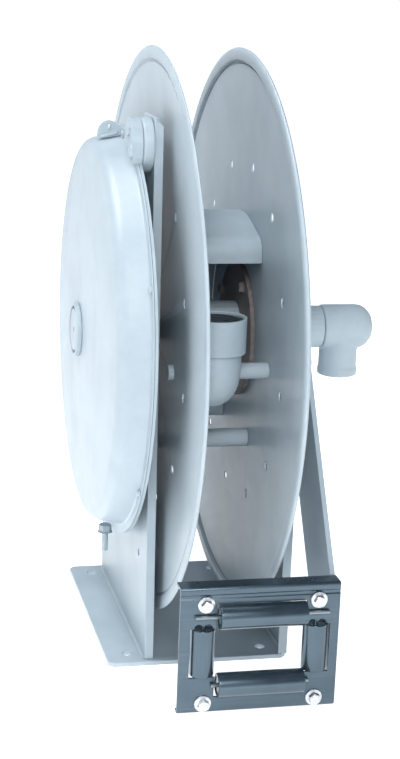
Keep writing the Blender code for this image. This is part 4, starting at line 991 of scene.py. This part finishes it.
class REEL_OT_guide(bpy.types.Operator):
    """Make the dark roller guide, its four rollers and their rods"""

    bl_idname = "reel.guide"
    bl_label = "Roller Guide"

    def execute(self, context):
        low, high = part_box("guide_plate")
        fold = sizes().fold
        t = PLATE_THICKNESS
        front = low.y
        lip = front + (high.y - front) / 2
        ridge = FOLD_RIDGE
        profile = [(lip, low.z, 0), (front, low.z, fold), (front, high.z - 0.0125, 0.001)]
        profile += [(front + ridge, high.z - 0.0115, 0.001), (front + ridge, high.z - 0.0085, 0.001)]
        profile += [(front, high.z - 0.0075, 0.001), (front, high.z, fold), (high.y, high.z, 0)]
        profile += [(high.y, high.z - t, 0), (front + t, high.z - t, fold - t + 0.0004)]
        profile += [(front + t, low.z + t, fold - t + 0.0004), (lip, low.z + t, 0)]
        mesh = sheet(eased(profile, 0), [], high.x - low.x, 0.0005)
        mesh.transform(Matrix.Translation((low.x, 0, 0)) @ TURN_X.to_4x4())
        window = sheet(guide_window(), [], 0.03, 0)
        window.transform(Matrix.Translation((0, front + 0.012, 0)) @ TURN_Y.to_4x4())
        piece("guide_folded_plate", cut(mesh, [window]), GUIDE, "frame", ["guide_plate"], sharp=30)
        for label, axis in (("top", "X"), ("bottom", "X"), ("left", "Z"), ("right", "Z")):
            name = f"roller_{label}"
            low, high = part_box(name)
            centre = middle(name)
            r = (high.y - low.y) / 2
            index = "XYZ".index(axis)
            half = (high[index] - low[index]) / 2
            ends = []
            for sign in (-1, 1):
                end = sign * half
                rim = [(0.0026, end - sign * 0.0012), (r - 0.0032, end - sign * 0.0012, 0.0003)]
                rim += [(r - 0.0028, end, 0.0003), (r, end, 0.0012)]
                ends.append(rim)
            profile = ends[0] + ends[1][::-1]
            mesh = lathe(eased(profile, 0), 64)
            turn = TURN_X if axis == "X" else TURN_Z
            obj = piece(f"roller_tube_{label}", mesh, ROLLER, name, [name], TURN_Z)
            obj.matrix_world = Matrix.Translation(centre) @ turn.to_4x4()
            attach(obj, name)
            dress([f"roller_rod_{label}"], DRAWN_X if axis == "X" else DRAWN_Z, 0.0004)
        return {"FINISHED"}


# ---------------------------------------------------------------- fasteners and spring drive

# Kind, how many, axis, finish, body and sizes. The sizes are those that hexagon_bolt takes, in its order.
BOLTS = (
    ("guide_bolt", 4, "Y", ZINC, "frame", (0.0105, 0.0062, 0.0087, 0.0018, 0.004, 0.0125)),
    # The hub bolts share the dark brownish finish that paints the shade inside the drum.
    ("hub_bolt", 4, "-X", PRIMER_AND_SHADE, "drum", (0.010, 0.005, 0.0065, 0.001, 0.003, 0.012)),
    ("lobe_bolt", 2, "-X", SHEET, "frame", (0.013, 0.0075, 0.009, 0.0015, 0.004, 0.012)),
)
BOLT_LEAN = 17


class REEL_OT_fasteners(bpy.types.Operator):
    """Make the forged hexagon bolts and finish the screws"""

    bl_idname = "reel.fasteners"
    bl_label = "Bolts and Screws"

    def execute(self, context):
        turns = {"Y": TURN_Y, "-X": TURN_MINUS_X}
        for kind, count, axis, finish_name, body, dims in BOLTS:
            for number in range(1, count + 1):
                name = f"{kind}_{number}"
                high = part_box(name)[1]
                where = middle(name)
                shank = dims[-1]
                if axis == "Y":
                    where.y = high.y - shank
                else:
                    where.x = high.x - shank
                lean = Matrix.Rotation(math.radians(BOLT_LEAN * number), 3, "Z")
                mesh = hexagon_bolt(*dims)
                mesh.transform(lean.to_4x4())
                piece(f"{name}_forging", mesh, finish_name, body, [name], turns[axis], where, sharp=25)
        dress([f"cover_screw_{i}" for i in range(1, 7)], SHEET, 0.0002)
        dress(["anchor_bolt"], SHEET, 0.0004)
        dress(["arm_bolt_1", "arm_bolt_2", "pawl_pin"], ZINC, 0.0004)
        return {"FINISHED"}


class REEL_OT_spring_drive(bpy.types.Operator):
    """Finish the power spring, its arbor, the ratchet and the pawl"""

    bl_idname = "reel.spring_drive"
    bl_label = "Spring Drive"

    def execute(self, context):
        dress(["power_spring"], DRAWN_Z)
        dress(["spring_arbor", "ratchet_wheel", "pawl"], DRAWN_X, 0.0004)
        return {"FINISHED"}


# ---------------------------------------------------------------- studio


def area_light(name, place, target, width, height, power):
    """A white soft box that faces a target."""
    data = bpy.data.lights.new(name, "AREA")
    data.shape = "RECTANGLE"
    data.size = width
    data.size_y = height
    data.energy = power
    lamp = bpy.data.objects.new(name, data)
    bpy.context.scene.collection.objects.link(lamp)
    lamp.location = place
    lamp.rotation_euler = (Vector(target) - Vector(place)).to_track_quat("-Z", "Y").to_euler()


# Name, place, target, width and height in metres, and power in watts.
LIGHTS = (
    ("key_soft_box", (-0.35, -2.6, 1.7), (0, 0, 0.33), 1.0, 1.0, 33),
    ("strip_soft_box", (-0.5, -2.1, 2.2), (0, -0.2, 0.2), 1.5, 0.14, 15),
    ("top_soft_box", (-1.0, 0.2, 2.5), (0, 0, 0.35), 1.3, 1.1, 52),
    ("side_soft_box", (-3.2, -0.6, 1.2), (0, 0, 0.35), 2.2, 2.2, 2),
)
FLOOR_HALF_WIDTH = 45.0
FLOOR_GLOW = 0.85
SKY_LOW = "#EEF2F5"
SKY_HIGH = "#6E7B89"

CAMERA_PLACE = (-0.3972, -1.7967, 0.7546)
CAMERA_AZIMUTH = -13.168
CAMERA_ELEVATION = 14.522
CAMERA_ROLL = 2.284
CAMERA_LENS = 80.87


class REEL_OT_studio(bpy.types.Operator):
    """Make the pale floor, the soft boxes, the world and the camera"""

    bl_idname = "reel.studio"
    bl_label = "Studio"

    def execute(self, context):
        scene = context.scene
        c = colours()
        shape = bmesh.new()
        bmesh.ops.create_grid(shape, x_segments=8, y_segments=8, size=FLOOR_HALF_WIDTH)
        floor_mesh = meshed(shape)
        floor_mesh.transform(Matrix.Translation((0, 0, -0.0002)))
        floor = bpy.data.objects.new("studio_floor", floor_mesh)
        scene.collection.objects.link(floor)
        mat, tree, shader = blank_material(
            "matt_vinyl_studio_floor", Roughness=0.9, Specular_IOR_Level=0.1, Emission_Strength=FLOOR_GLOW
        )
        shader.inputs["Emission Color"].default_value = (1.0, 1.0, 1.0, 1.0)
        place = add_node(tree, "ShaderNodeTexCoord").outputs["Object"]
        grain = noise(tree, place, per_metre(400), 2.0)
        soft = tuple(0.985 * v for v in c.floor)
        tone = ramp(tree, grain.outputs["Fac"], soft, tuple(c.floor), 0.3, 0.7)
        tree.links.new(tone, shader.inputs["Base Color"])
        floor_mesh.materials.append(mat)

        world = bpy.data.worlds.new("studio_world")
        scene.world = world
        world.use_nodes = True
        tree = world.node_tree
        backdrop = tree.nodes["Background"]
        sky = add_node(tree, "ShaderNodeTexCoord").outputs["Generated"]
        height = add_node(tree, "ShaderNodeSeparateXYZ", {"Vector": sky}).outputs["Z"]
        dim = ramp(tree, height, linear(SKY_LOW), linear(SKY_HIGH), 0.08, 0.34)
        tree.links.new(dim, backdrop.inputs["Color"])
        backdrop.inputs["Strength"].default_value = 1.0
        for light in LIGHTS:
            area_light(*light)
        scene.view_settings.view_transform = "Standard"

        data = bpy.data.cameras.new("camera")
        data.sensor_fit = "AUTO"
        data.sensor_width = 36
        data.lens = CAMERA_LENS
        data.clip_start = 0.05
        data.clip_end = 50
        camera = bpy.data.objects.new("camera", data)
        scene.collection.objects.link(camera)
        azimuth = math.radians(CAMERA_AZIMUTH)
        elevation = math.radians(CAMERA_ELEVATION)
        roll = math.radians(CAMERA_ROLL)
        flat = math.cos(elevation)
        ahead = Vector((-math.sin(azimuth) * flat, math.cos(azimuth) * flat, -math.sin(elevation)))
        level = Vector((math.cos(azimuth), math.sin(azimuth), 0))
        up = level.cross(ahead)
        right = level * math.cos(roll) + up * math.sin(roll)
        up = up * math.cos(roll) - level * math.sin(roll)
        turn = Matrix((right, up, -ahead)).transposed().to_4x4()
        camera.matrix_world = Matrix.Translation(CAMERA_PLACE) @ turn
        scene.camera = camera
        return {"FINISHED"}


# ---------------------------------------------------------------- add-on


OPERATORS = (
    REEL_OT_sides,
    REEL_OT_drum,
    REEL_OT_outlet,
    REEL_OT_housing,
    REEL_OT_frame,
    REEL_OT_inlet,
    REEL_OT_guide,
    REEL_OT_fasteners,
    REEL_OT_spring_drive,
    REEL_OT_studio,
)


class REEL_PT_panel(bpy.types.Panel):
    """Lists the reel's operators, sizes and colours"""

    bl_label = "Fire Hose Reel"
    bl_idname = "REEL_PT_panel"
    bl_space_type = "VIEW_3D"
    bl_region_type = "UI"
    bl_category = "Hose Reel"

    def draw(self, context):
        layout = self.layout
        for group in (context.scene.reel_sizes, context.scene.reel_colours):
            box = layout.box()
            for prop in group.bl_rna.properties:
                if prop.identifier not in ("rna_type", "name"):
                    box.prop(group, prop.identifier)
        for operator in OPERATORS:
            layout.operator(operator.bl_idname)


CLASSES = (ReelColours, ReelSizes, *OPERATORS, REEL_PT_panel)


def register():
    for cls in CLASSES:
        bpy.utils.register_class(cls)
    bpy.types.Scene.reel_colours = PointerProperty(type=ReelColours)
    bpy.types.Scene.reel_sizes = PointerProperty(type=ReelSizes)


def unregister():
    del bpy.types.Scene.reel_sizes
    del bpy.types.Scene.reel_colours
    for cls in reversed(CLASSES):
        bpy.utils.unregister_class(cls)


def main():
    """Build every piece in order."""
    register()
    for operator in OPERATORS:
        group, name = operator.bl_idname.split(".")
        getattr(getattr(bpy.ops, group), name)()


if __name__ == "__main__":
    main()
